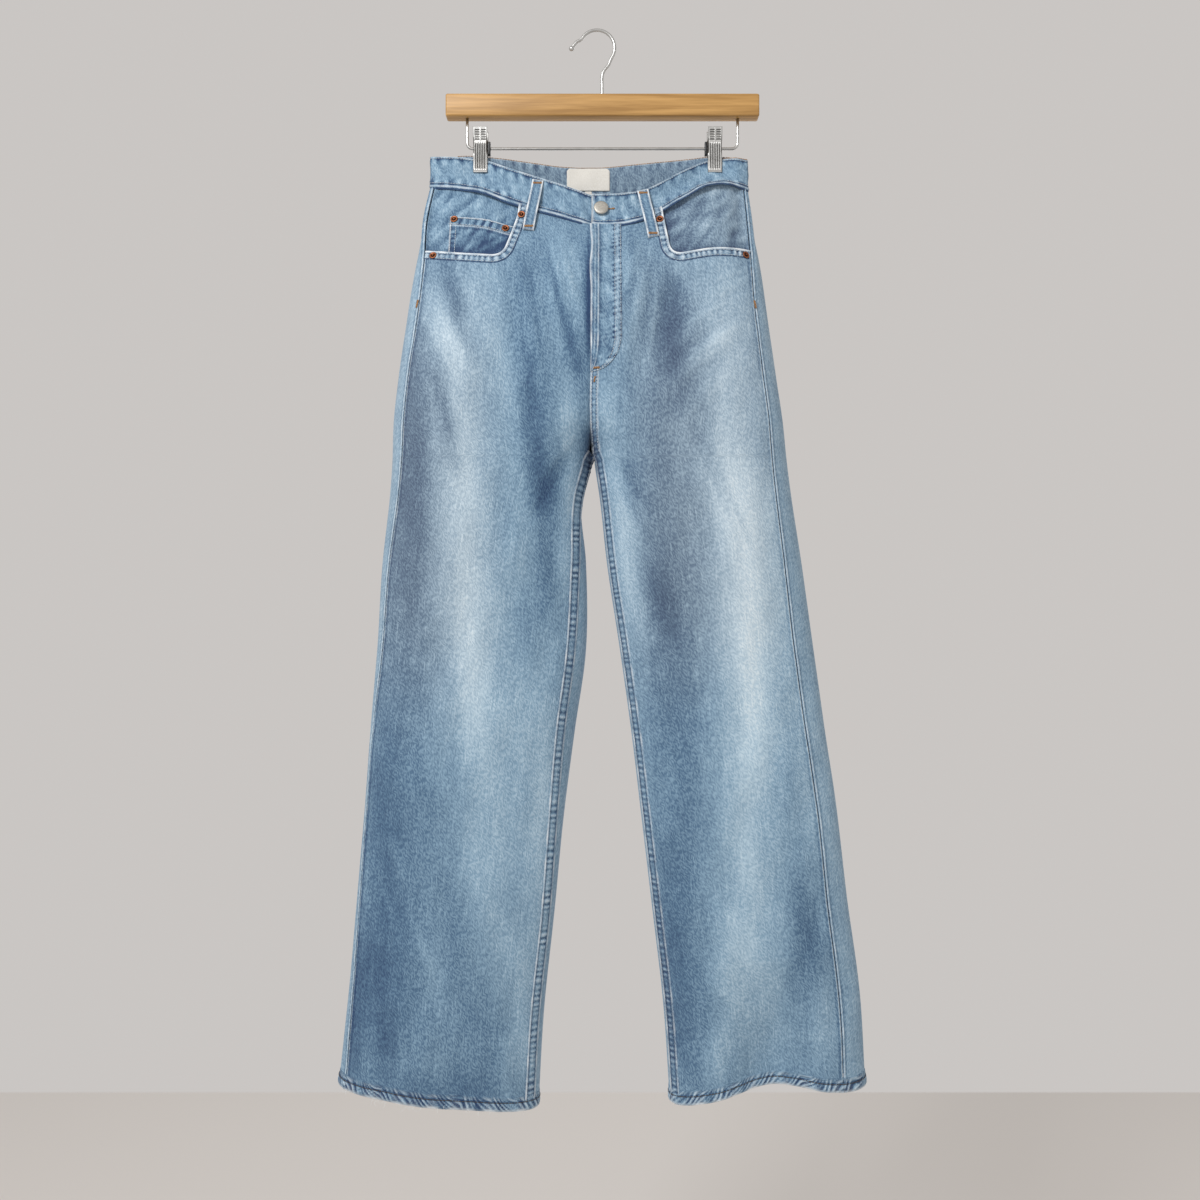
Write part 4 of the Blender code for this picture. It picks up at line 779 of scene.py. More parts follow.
def roundedPath(points, radius, step):
    # A polyline whose corners are parabolas over the given radius, resampled at even steps
    points = np.array(points, float)
    line = [points[:1]]
    for before, corner, after in zip(points[:-2], points[1:-1], points[2:]):
        way0, way1 = before - corner, after - corner
        cut = min(radius, np.linalg.norm(way0) / 2.01, np.linalg.norm(way1) / 2.01)
        start = corner + way0 / np.linalg.norm(way0) * cut
        end = corner + way1 / np.linalg.norm(way1) * cut
        t = np.linspace(0, 1, 12)[:, None]
        line.append(start * (1 - t)**2 + corner * 2 * t * (1 - t) + end * t**2)
    line = np.vstack([*line, points[-1:]])
    length = runAlong(line)[-1]
    return pointsAlong(line, np.linspace(0, length, max(int(length / step), 2) + 1))


def besidePath(path, offset):
    # The path moved sideways: its run turned by 90 degrees, times the offset
    way = np.gradient(path, axis=0)
    way /= np.linalg.norm(way, axis=1, keepdims=True)
    across = np.column_stack([-way[:, 1], way[:, 0]])
    offset = np.atleast_2d(offset)
    return path[:, None] + across[:, None] * offset[..., None]


def wobble(run, seed, wavelength):
    # Uneven wave along a length, about -1 to 1: a sum of five sines
    dice = np.random.default_rng(seed)
    total = np.zeros_like(run)
    for _ in range(5):
        size, phase = wavelength * dice.uniform(0.6, 1.6), dice.uniform(0, 2 * math.pi)
        total = total + np.sin(2 * math.pi * run / size + phase)
    return total / 2.4


def ladder(run, pitch, seed):
    # Puckers along a stitched seam: a sine of the length whose pitch and height wander
    wander = 1.6 * wobble(run, seed, 9 * pitch) + 0.6 * wobble(run, seed + 1, 3 * pitch)
    return (np.sin(2 * math.pi * run / pitch + wander)
            * (0.75 + 0.35 * wobble(run, seed + 2, 5 * pitch)))


def beads(puckers):
    # Pale swellings with narrow dark gaps between them, from the ladder's wave
    return 0.55 * puckers.clip(0, 1) - 1.5 * (-puckers - 0.15).clip(0, 1)


def nearPath(x, z, path):
    # Distance from each place to the nearest point of a path
    gaps = np.hypot(x[..., None] - path[:, 0], z[..., None] - path[:, 1])
    return gaps.min(axis=-1)


def insideOutline(outline, x, z):
    # Even-odd rule: how often a ray towards +X crosses the outline
    inside = np.zeros(x.shape, bool)
    for (x0, z0), (x1, z1) in zip(outline, np.roll(outline, -1, axis=0)):
        crosses = (z0 > z) != (z1 > z)
        at = x0 + (z - z0) / (z1 - z0 if z1 != z0 else 1.0) * (x1 - x0)
        inside ^= crosses & (x < at)
    return inside


def seamPath(line):
    # The x and z of a line of points
    return line[:, [0, 2]]


# Finishes. Pattern sizes are real ones, except where a comment says otherwise.
denim = {
    "stops": ((0.00, "2C4467"), (0.25, "53718D"), (0.50, "85A3BA"), (0.75, "B2CADA"),
              (1.00, "DAE8EF")),
    "wrongStops": ((0.00, "4D6178"), (0.35, "7C90A5"), (0.70, "A3B4C3"), (1.00, "CFD9E0")),
    "wornWhite": "E6ECF0",
    # Noise over the cloth: width, length, detail, roughness, lean, the range that is spread over
    # the next range, and how much it adds to the lightness
    "layers": {
        # rubbed pale yarn ends, which wander like worms
        "strokes": (0.0012, 0.0042, 0.0, 0.5, -0.45, (0.40, 0.60, -0.5, 0.5), 0.155),
        "slubs": (0.0012, 0.034, 0.0, 0.5, 0.0, (0.66, 0.78, 0.0, 1.0), 0.12),
        "streaks": (0.0060, 0.085, 2.0, 0.5, 0.0, (0.0, 1.0, -0.5, 0.5), 0.11),
        "mottle": (0.0100, 0.0200, 3.0, 0.6, 0.0, (0.0, 1.0, -0.5, 0.5), 0.16),
        # stands for the 0.5 mm twill, drawn coarser so that it shows
        "grain": (0.0009, 0.00225, 1.0, 0.5, 0.0, (0.0, 1.0, -0.5, 0.5), 0.16),
    },
    "bendSize": 0.0050, "bend": 0.0040,
    "greying": -0.45, "wornGrain": 0.5, "wornCut": (0.08, 0.92),
    "bump": 0.00045, "strokeBump": 0.35, "bumpStrength": 0.8,
    "roughness": 0.88, "sheen": 0.10, "specular": 0.25,
}


def newMaterial(name):
    material = bpy.data.materials.new(name)
    material.use_nodes = True
    return material, material.node_tree, material.node_tree.nodes["Principled BSDF"]


def noiseAt(tree, place, scale, detail=2.0, roughness=0.5, lean=0.0):
    # Noise over coordinates that are first turned by lean, then scaled along each axis
    if lean:
        place = addNode(tree, "ShaderNodeMapping", {},
                        {"Vector": place, "Rotation": (0, 0, lean)}).outputs[0]
    moved = addNode(tree, "ShaderNodeMapping", {}, {"Vector": place, "Scale": scale})
    return addNode(tree, "ShaderNodeTexNoise", {},
                   {"Vector": moved.outputs[0], "Scale": 1.0, "Detail": detail,
                    "Roughness": roughness}).outputs[0]


def makeDenim(name, stops):
    # Washed cotton twill: layers of noise over the lightness painted on the piece; seams are worn
    # white where the paint says so
    material, tree, shader = newMaterial(name)
    place = addNode(tree, "ShaderNodeUVMap", {"uv_map": "cloth"}, {}).outputs[0]
    paint = addNode(tree, "ShaderNodeAttribute", {"attribute_name": "tone"}, {})
    parts = addNode(tree, "ShaderNodeSeparateColor", {}, {0: paint.outputs["Color"]}).outputs
    size = 1 / denim["bendSize"]
    swirl = addNode(tree, "ShaderNodeMapping", {}, {"Vector": place, "Scale": (size, size, 1)})
    swirl = addNode(tree, "ShaderNodeTexNoise", {},
                    {"Vector": swirl.outputs[0], "Scale": 1.0, "Detail": 0.0})
    bent = addNode(tree, "ShaderNodeVectorMath", {"operation": "MULTIPLY_ADD"},
                   {0: swirl.outputs[1], 1: (denim["bend"], denim["bend"], 0), 2: place})
    value, layers = parts[0], {}
    for word, (width, length, detail, rough, lean, ends, depth) in denim["layers"].items():
        noise = noiseAt(tree, bent.outputs[0] if lean else place, (1 / width, 1 / length, 1),
                        detail, rough, lean)
        layers[word] = addNode(tree, "ShaderNodeMapRange", {},
                               dict(enumerate((noise, *ends)))).outputs[0]
        value = addNode(tree, "ShaderNodeMath", {"operation": "MULTIPLY_ADD"},
                        {0: layers[word], 1: depth, 2: value}).outputs[0]
    colour = addNode(tree, "ShaderNodeValToRGB", {"stops": stops}, {0: value}).outputs[0]
    faded = addNode(tree, "ShaderNodeMath", {"operation": "MULTIPLY_ADD"},
                    {0: parts[1], 1: denim["greying"], 2: 1.0}).outputs[0]
    colour = addNode(tree, "ShaderNodeHueSaturation", {},
                     {"Saturation": faded, "Color": colour}).outputs[0]
    worn = addNode(tree, "ShaderNodeMath", {"operation": "MULTIPLY_ADD"},
                   {0: layers["grain"], 1: denim["wornGrain"], 2: parts[2]}).outputs[0]
    worn = addNode(tree, "ShaderNodeMapRange", {}, dict(enumerate((worn, *denim["wornCut"]))))
    mix = addNode(tree, "ShaderNodeMix", {"data_type": "RGBA"},
                  {0: worn.outputs[0], 6: colour, 7: linearColour(denim["wornWhite"])})
    height = addNode(tree, "ShaderNodeMath", {"operation": "MULTIPLY_ADD"},
                     {0: layers["strokes"], 1: denim["strokeBump"], 2: layers["grain"]})
    bump = addNode(tree, "ShaderNodeBump", {},
                   {"Height": height.outputs[0], "Distance": denim["bump"],
                    "Strength": denim["bumpStrength"]})
    tree.links.new(mix.outputs[2], shader.inputs["Base Color"])
    tree.links.new(bump.outputs[0], shader.inputs["Normal"])
    shader.inputs["Roughness"].default_value = denim["roughness"]
    shader.inputs["Sheen Weight"].default_value = denim["sheen"]
    shader.inputs["Specular IOR Level"].default_value = denim["specular"]
    return material


def makePlain(name, code, other, scale, roughness, metallic=0.0, bump=0.0):
    # Two close colours mixed by noise over real positions, and a slight unevenness of the surface
    material, tree, shader = newMaterial(name)
    place = addNode(tree, "ShaderNodeTexCoord", {}, {}).outputs["Object"]
    patches = noiseAt(tree, place, scale, 3.0, 0.6)
    colour = addNode(tree, "ShaderNodeValToRGB", {"stops": ((0.35, code), (0.65, other))},
                     {0: patches})
    tree.links.new(colour.outputs[0], shader.inputs["Base Color"])
    shader.inputs["Roughness"].default_value = roughness
    shader.inputs["Metallic"].default_value = metallic
    if bump > 0:
        rough = addNode(tree, "ShaderNodeBump", {}, {"Height": patches, "Distance": bump})
        tree.links.new(rough.outputs[0], shader.inputs["Normal"])
    return material


def makeStamped(name, dark, bright, roughness):
    # Stamped metal whose lightness is painted on the piece: on the clip jaws painted light and
    # shade that make the ribs and teeth show; on the rivets grime lies in the groove and the
    # centre
    material, tree, shader = newMaterial(name)
    paint = addNode(tree, "ShaderNodeAttribute", {"attribute_name": "tone"}, {})
    place = addNode(tree, "ShaderNodeTexCoord", {}, {}).outputs["Object"]
    cloudy = addNode(tree, "ShaderNodeMath", {"operation": "SUBTRACT"},
                     {0: noiseAt(tree, place, (400, 400, 400), 2.0), 1: 0.5}).outputs[0]
    value = addNode(tree, "ShaderNodeMath", {"operation": "MULTIPLY_ADD"},
                    {0: cloudy, 1: 0.15, 2: paint.outputs["Fac"]}).outputs[0]
    colour = addNode(tree, "ShaderNodeValToRGB", {"stops": ((0.1, dark), (0.9, bright))},
                     {0: value})
    tree.links.new(colour.outputs[0], shader.inputs["Base Color"])
    shader.inputs["Roughness"].default_value = roughness
    shader.inputs["Metallic"].default_value = 1.0
    return material


washedDenim = makeDenim("washedDenim", denim["stops"])
denimWrongSide = makeDenim("denimWrongSide", denim["wrongStops"])
# matt and close woven, a warm off-white
creamTwillTape = makePlain("creamWovenTape", "DAD7CF", "E6E4DE", (900, 900, 900), 0.85,
                           bump=0.0002)
# spun cotton: matt, two near shades along each thread
paleThread = makePlain("paleCottonThread", "A9B8C4", "CBD5DC", (400, 400, 400), 0.8)
tanThread = makePlain("tanCottonThread", "8A6543", "B58A5E", (400, 400, 400), 0.8)
brownThread = makePlain("brownCottonThread", "3B3430", "5D5348", (400, 400, 400), 0.8)
whiteThread = makePlain("bleachedFrayedThread", "E4E8EA", "F2F4F4", (400, 400, 400), 0.9)
blueThread = makePlain("fadedBlueThread", "4D6179", "71879C", (400, 400, 400), 0.8)
# cast and tumbled: soft broad highlights on a grainy face
castPewter = makePlain("castPewterButton", "A8A59D", "C2BFB7", (700, 700, 700), 0.50, 0.85,
                       0.0001)
# drawn and plated: a thin bright line along the wire
chromedWire = makePlain("chromedSteelWire", "BDBDBB", "CBCBC9", (60, 60, 60), 0.30, 1.0)
stampedNickel = makeStamped("stampedNickelPlate", "1E1E1E", "C9C9C7", 0.45)
wornCopper = makeStamped("wornCopperRivet", "1D1311", "A56A4C", 0.50)
# heat blackened spring steel: dark, with a dull shine
darkSteel = makePlain("blackenedSteel", "3A3B3C", "4C4D4E", (300, 300, 300), 0.4, 1.0)
# sawn and varnished: honey brown with fine grain along the bar
varnishedBeech = makePlain("varnishedBeech", "A0773F", "C69A5C", (9, 190, 190), 0.42, 0, 0.0002)
print("materials made")

# Panels. Rows stand 3.5 mm apart; the yoke ends at the level where its seam lies.
panelDetail = {"yokeRows": 14, "seatRows": 276, "frontColumns": 56, "backColumns": 74}
levels = np.r_[np.linspace(garment["waistZ"], garment["yokeSideZ"], panelDetail["yokeRows"]),
               np.linspace(garment["yokeSideZ"], garment["hemZ"], panelDetail["seatRows"])[1:]]
seamEdge = {      # across the first 6.5 mm beside an open seam, one value for each edge mark
    "height": np.array([-0.6, 0.25, 0.60, 0.65, 0.40, 0.10, 0, 0]) / 1000,
    # light: painted shade in the seam's gap and in the groove beyond the raised edge
    "light": np.array([-0.35, -0.05, 0.08, 0.05, -0.08, -0.16, -0.10, 0]),
    "white": np.array([0.0, 0.20, 0.45, 0.25, 0.05, 0, 0, 0]),
    "pucker": 0.00022, "pitch": 0.0065, "puckered": 6,
}


def edgeSeam(grid, facing, atEnd, seed):
    # Raises and whitens the columns beside a seam: the edge profile times an uneven wave along it
    count = len(edgeMarks)
    columns = np.arange(count) if not atEnd else grid.shape[1] - 1 - np.arange(count)
    run = runAlong(grid[:, columns[0]])[:, None]
    normal = gridNormals(grid)
    middle = grid.reshape(-1, 3).mean(axis=0)
    outward = np.sign(((grid - middle) * normal)[:, columns].sum())
    puckers = ladder(run, seamEdge["pitch"], seed) * (np.arange(count) < seamEdge["puckered"])
    moved = grid.copy()
    lift = seamEdge["height"] * (1 + 0.25 * wobble(run, seed + 5, 0.05)) \
        + seamEdge["pucker"] * puckers
    moved[:, columns] += normal[:, columns] * (outward * lift)[..., None]
    light, grey = washAndShadeTone(grid, facing)
    white = np.zeros_like(light)
    light[:, columns] += seamEdge["light"] + 0.03 * puckers
    white[:, columns] += seamEdge["white"] * (0.85 + 0.3 * wobble(run, seed + 7, 0.03))
    return moved, (light, grey, white.clip(0, 1))


fronts, backs, panelTones = {}, {}, {}
for side in (-1, 1):
    plainFront = panelGrid(side, "front", levels, panelDetail["frontColumns"])
    plainBack = panelGrid(side, "back", levels, panelDetail["backColumns"])
    fronts[side], panelTones["front", side] = edgeSeam(plainFront, -1, False, 21 + side)
    backs[side], panelTones["back", side] = edgeSeam(plainBack, 1, False, 31 + side)
print("panels shaped")

bandShape = {
    "columns": 330, "outerRows": 22, "height": 0.036, "seed": 41,
    "pitch": 0.0068, "pucker": 0.00022, "inward": 0.0006, "lapped": 0.0003, "lapLength": 0.030,
    "waves": (43, 0.022, 0.00028), "slants": (49, 0.016, 0.00045),
    "innerLight": 0.33, "innerGrey": 0.40, "labelSpan": (60, 100),
    # share of the height from the top edge to the seam, height above the outer face (mm),
    # lightness, whiteness; the last seven lie on the inner face
    "profile": (
        # Painted shade: the dark rows at 0.058 to 0.085 and 0.865 to 0.900 lie in the stitch
        # grooves; the rows from 1.030 on lie on the panel below the seam, a dark strip of painted
        # shadow under the band
        (0.000, -0.5, 0.00, 0.50), (0.014, 0.3, 0.00, 0.60), (0.034, 0.7, 0.02, 0.35),
        (0.058, 0.40, -0.24, 0.05), (0.085, 0.3, -0.30, 0.00), (0.115, 0.5, -0.08, 0.00),
        (0.17, 0.6, 0.02, 0.00), (0.27, 0.4, 0.03, 0.00), (0.38, 0.4, 0.03, 0.00),
        (0.50, 0.4, 0.03, 0.00), (0.62, 0.4, 0.03, 0.00), (0.74, 0.4, 0.02, 0.00),
        (0.82, 0.6, 0.00, 0.00), (0.865, 0.5, -0.16, 0.00), (0.900, 0.30, -0.36, 0.00),
        (0.930, 0.70, -0.10, 0.15), (0.955, 1.1, 0.00, 0.40), (0.985, 1.3, 0.00, 0.50),
        (1.010, 0.9, -0.10, 0.25), (1.030, 0.35, -0.45, 0.00), (1.075, 0.25, -0.45, 0.00),
        (1.080, -0.3, -0.30, 0.00),
        (1.050, -1.6, 0.00, 0.00), (0.99, -2.4, 0.00, 0.00), (0.80, -2.4, 0.00, 0.00),
        (0.55, -2.4, 0.02, 0.00), (0.30, -2.4, 0.02, 0.00), (0.06, -2.4, 0.00, 0.00),
        (0.012, -1.9, 0.00, 0.40),
    ),
}


def waistbandGrid():
    # The profile carried along the band's line, from the underlap round the back to the lap: at
    # each share the point between top edge and seam, bowed by the flare, moved along the normal
    lines = {}
    for edge in ("top", "seam"):
        (frontRight, backRight), (frontLeft, backLeft) = bandLine(-1, edge), bandLine(1, edge)
        gap = np.abs(frontLeft[:, 0] - garment["centreX"])
        under = frontLeft[gap <= garment["underlap"]]
        lines[edge] = np.vstack([under, frontRight[::-1], backRight[1:], backLeft[::-1][1:],
                                 frontLeft[1:]])
    run = runAlong(lines["seam"])
    keep = np.r_[True, np.diff(run) > 1e-6]
    run = run[keep]
    wanted = np.linspace(0, run[-1], bandShape["columns"])
    top, seam = (np.column_stack([np.interp(wanted, run, lines[e][keep][:, i])
                                  for i in range(3)]) for e in ("top", "seam"))
    profile = np.array(bandShape["profile"])
    share, lift = profile[:, 0][:, None], profile[:, 1][:, None] / 1000
    base = top[None] + (seam - top)[None] * share[..., None]
    base[..., 1] = top[:, 1] + (seam - top)[:, 1] * share.clip(0, None)**garment["bandFlare"]
    flat = top[None] + (seam - top)[None] * np.linspace(0, 1, 5)[:, None, None]
    normal = gridNormals(flat)[2]
    centre = flat[2].mean(axis=0)
    normal *= np.sign(((flat[2] - centre) * normal)[:, :2].sum())
    inward = smoothStep((garment["underlap"] + garment["stepLength"] - wanted)
                        / garment["stepLength"])
    outer = np.arange(len(profile))[:, None] < bandShape["outerRows"]
    edgeBell = np.exp(-((share - 0.12) / 0.06)**2) + np.exp(-((share - 0.86) / 0.07)**2)
    down = bandShape["height"] * share
    puckers = ladder(wanted[None] + 0.25 * down, bandShape["pitch"], bandShape["seed"]) \
        * edgeBell * outer
    lift = lift + bandShape["pucker"] * puckers
    lift = lift + waviness(base[..., 0] + base[..., 1], base[..., 2], *bandShape["waves"])
    slanting = waviness(wanted + down, wanted - down, *bandShape["slants"], tall=3.0)
    lift = lift + slanting * outer * smoothStep(share / 0.15) * smoothStep((0.95 - share) / 0.15)
    lapped = smoothStep((wanted - (run[-1] - bandShape["lapLength"])) / 0.02)
    lift = lift - (garment["bandWall"] + bandShape["inward"]) * inward \
        + bandShape["lapped"] * lapped
    grid = base + normal[None] * lift[..., None]
    return grid, profile, puckers, slanting, wanted


bandGrid, bandProfile, bandPuckers, bandSlants, bandRun = waistbandGrid()


def buildWaistband():
    rows, columns = bandGrid.shape[:2]
    light, grey = washAndShadeTone(bandGrid, -1)
    outer = np.arange(rows)[:, None] < bandShape["outerRows"]
    light = np.where(outer, light + 0.02, bandShape["innerLight"] + 0.1 * (light - 0.5)) \
        + bandProfile[:, 2:3]
    grey = np.where(outer, grey, bandShape["innerGrey"])
    share = bandProfile[:, 0:1]
    nearEdge = np.exp(-((share - 0.12) / 0.10)**2) + np.exp(-((share - 0.84) / 0.10)**2)
    blotches = waviness(bandGrid[..., 0] * 1.6, bandGrid[..., 2], 45, 0.014, 1.0, tall=1.0)
    # The slanting waves add painted light and shade that follow them
    light = light + 0.13 * beads(bandPuckers) + (0.04 + 0.16 * nearEdge) * blotches \
        + 130 * bandSlants * outer
    white = bandProfile[:, 3:4] * (0.85 + 0.3 * wobble(bandRun, 47, 0.03)[None])
    ending = np.exp(-((bandRun[-1] - bandRun) / 0.0022)**2)
    white = np.maximum(white, 0.8 * ending[None] * outer)
    faces = gridFaces(rows, columns, closeRows=True)
    loop = np.arange(rows) * columns
    ends = [loop.tolist(), (loop + columns - 1)[::-1].tolist()]
    mesh = makeMesh("waistbandCloth", bandGrid, faces, clothUv(bandGrid),
                    (light, grey, white.clip(0, 1)), ends)
    faceOutwards(mesh)
    return addPiece("waistbandCloth", mesh, [washedDenim], ["waistband"])


waistband = buildWaistband()
outside = [*fronts.values(), *backs.values(), bandGrid[:bandShape["outerRows"]]]
frontRelief, backRelief = makeRelief(outside, -1), makeRelief(outside, 1)
backHalf = slice(*(bandGrid.shape[1] // 2 + step
                   for step in (-bandShape["labelSpan"][0], bandShape["labelSpan"][1])))
insideRelief = makeRelief([bandGrid[bandShape["outerRows"] + 1:-1, backHalf]], -1)
print("waistband and reliefs made")

mouths = {
    -1: ((-0.1890, -0.2585), (-0.1760, -0.2600), (-0.1440, -0.2645), (-0.1040, -0.2680),
         (-0.0885, -0.2190), (-0.0868, -0.2040)),
    1: ((0.1690, -0.2590), (0.1560, -0.2590), (0.1280, -0.2595), (0.0815, -0.2680),
        (0.0735, -0.2190), (0.0722, -0.2080)),
}
mouthBand = {
    "radius": 0.013, "step": 0.0011, "hidden": 0.0050, "reach": 0.060, "lowestZ": -0.30,
    "pitch": 0.0064, "pucker": 0.00060, "contrast": 0.30,
    # distance into the panel (mm), height (mm), lightness, whiteness, share of the puckers
    "profile": (
        # Painted shade: the dark rows from 9.6 to 11 mm are painted shadow on the panel along the
        # band's inner edge, those at 2.8 and 3.6 mm lie in the stitch groove, and the last three
        # are turned under the mouth's edge
        (11.0, -0.5, -0.20, 0.00, 0), (10.6, 0.10, -0.38, 0.00, 0.2),
        (9.6, 0.25, -0.34, 0.00, 0.5), (8.6, 0.50, -0.04, 0.10, 0.8),
        (7.4, 0.60, 0.03, 0.12, 1.0), (6.0, 0.70, 0.05, 0.14, 1.0), (4.6, 0.60, 0.03, 0.12, 1.0),
        (3.6, 0.45, -0.18, 0.02, 0.9), (2.8, 0.55, -0.26, 0.05, 0.5),
        (2.1, 0.90, 0.00, 0.45, 0.2), (1.2, 1.05, 0.05, 0.85, 0.1), (0.3, 0.85, 0.05, 0.85, 0),
        (0.0, 0.20, 0.00, 0.55, 0), (0.1, -0.50, -0.30, 0.10, 0), (1.2, -0.95, -0.35, 0.00, 0),
        (5.0, -0.95, -0.3, 0.00, 0),
    ),
}


def stripOn(name, relief, path, side, profile, pitch, pucker, seed, contrast):
    # A sewn strip: the profile (distance, height, lightness, whiteness, share of puckers) is
    # carried along the path on the given side; ladder puckers run across it
    profile = np.array(profile)
    offset, lift = profile[:, 0] / 1000 * side, profile[:, 1] / 1000
    run = runAlong(path)[:, None]
    places = besidePath(path, offset)
    puckers = ladder(run, pitch, seed) * profile[:, 4]
    points, _ = onCloth(relief, places[..., 0], places[..., 1], lift + pucker * puckers)
    light, grey = washAndShadeTone(points, relief["facing"])
    light = light + profile[:, 2] + contrast * beads(puckers)
    white = profile[:, 3] * (0.85 + 0.35 * wobble(run, seed + 9, 0.025)) \
        + 0.8 * contrast * puckers.clip(0, None)
    return sheetPiece(name, points, relief["facing"], [washedDenim], (), 0.0,
                      (light, grey, white.clip(0, 1)))


mouthPaths = {side: roundedPath(mouths[side], mouthBand["radius"], mouthBand["step"])
              for side in (-1, 1)}
pieces = {}
for side, word in ((-1, "Right"), (1, "Left")):
    path = mouthPaths[side]
    hidden = besidePath(path, mouthBand["hidden"] * side)[:, 0]
    reach = side * mouthBand["reach"]
    outline = np.vstack([hidden[0] + (reach, 0), hidden, hidden[-1] + (0, mouthBand["reach"]),
                         (hidden[0][0] + reach, hidden[-1][1] + mouthBand["reach"])])
    grid = fronts[side]
    middle = (grid[:-1, :-1] + grid[1:, 1:]) / 2
    gone = insideOutline(outline, middle[..., 0], middle[..., 2]) \
        & (middle[..., 2] > mouthBand["lowestZ"])
    pieces["front", side] = sheetPiece(
        "front" + word, grid, -1, [washedDenim, denimWrongSide], ["front_" + word.lower()],
        garment["wall"], panelTones["front", side], ~gone)
    split = panelDetail["yokeRows"]
    tone = panelTones["back", side]
    pieces["yoke", side] = sheetPiece(
        "yoke" + word, backs[side][:split], 1, [washedDenim, denimWrongSide],
        ["yoke_" + word.lower()], garment["wall"], tuple(t[:split] for t in tone))
    pieces["back", side] = sheetPiece(
        "back" + word, backs[side][split - 1:], 1, [washedDenim, denimWrongSide],
        ["back_" + word.lower()], garment["wall"], tuple(t[split - 1:] for t in tone))
    pieces["mouth", side] = stripOn(
        "pocketMouth" + word, frontRelief, path, side, mouthBand["profile"], mouthBand["pitch"],
        mouthBand["pucker"], 51 + side, mouthBand["contrast"])
print("panels and pocket mouths made")

facingShape = {"depth": 0.0019, "rows": 34, "columns": 50, "waves": 0.0008, "sewn": 0.009,
               "waveLight": 150, "rimShade": 0.26, "rimReach": 0.006,
               "leftShade": 0.10, "leftGrey": 0.40}


def buildFacing(side, word):
    # The panel's own rows and columns near the mouth, sunk along the normals and crumpled
    grid = fronts[side][:facingShape["rows"], :facingShape["columns"]]
    normal = outwardNormals(grid, -1)
    diagonal = waviness(grid[..., 0] - grid[..., 2], grid[..., 0] + grid[..., 2], 61 + side,
                        0.014, facingShape["waves"], tall=4.0)
    across = runAlong(grid[10])[None]
    down = runAlong(grid[:, 10])[:, None]
    free = smoothStep(across / facingShape["sewn"]) * smoothStep(down / facingShape["sewn"])
    depth = (facingShape["depth"] - diagonal + facingShape["waves"]) * free + 0.0003
    points = grid - normal * depth[..., None]
    light, grey = washAndShadeTone(grid, -1)
    # Painted shade: darker near the mouth's edge and, on the left facing, towards the centre
    # front; the crumples add painted light and shade that follow them
    shaded = np.exp(-nearPath(grid[..., 0], grid[..., 2], mouthPaths[side])
                    / facingShape["rimReach"])
    light = light + diagonal * facingShape["waveLight"] * free - facingShape["rimShade"] * shaded
    if side > 0:
        light -= facingShape["leftShade"] * smoothStep((0.150 - grid[..., 0]) / 0.05)
        grey = np.full_like(grey, facingShape["leftGrey"])
    return sheetPiece("pocketFacing" + word, points, -1, [washedDenim, denimWrongSide],
                      ["pocket_facing_" + word.lower()], garment["wall"],
                      (light, grey, np.zeros_like(light)))


for side, word in ((-1, "Right"), (1, "Left")):
    pieces["facing", side] = buildFacing(side, word)

coinPocket = {
    "left": -0.1645, "top": ((-0.1645, -0.2150), (-0.1250, -0.2205), (-0.0925, -0.2300)),
    "footZ": -0.2715, "depth": 0.0008, "hem": 0.0115, "sideBand": 0.0080, "rows": 60,
    "columns": 76, "pitch": 0.0085, "creases": (73, 0.012, 0.00035), "creaseLight": 420,
    "cornerShade": 0.48, "cornerReach": 0.012,
}


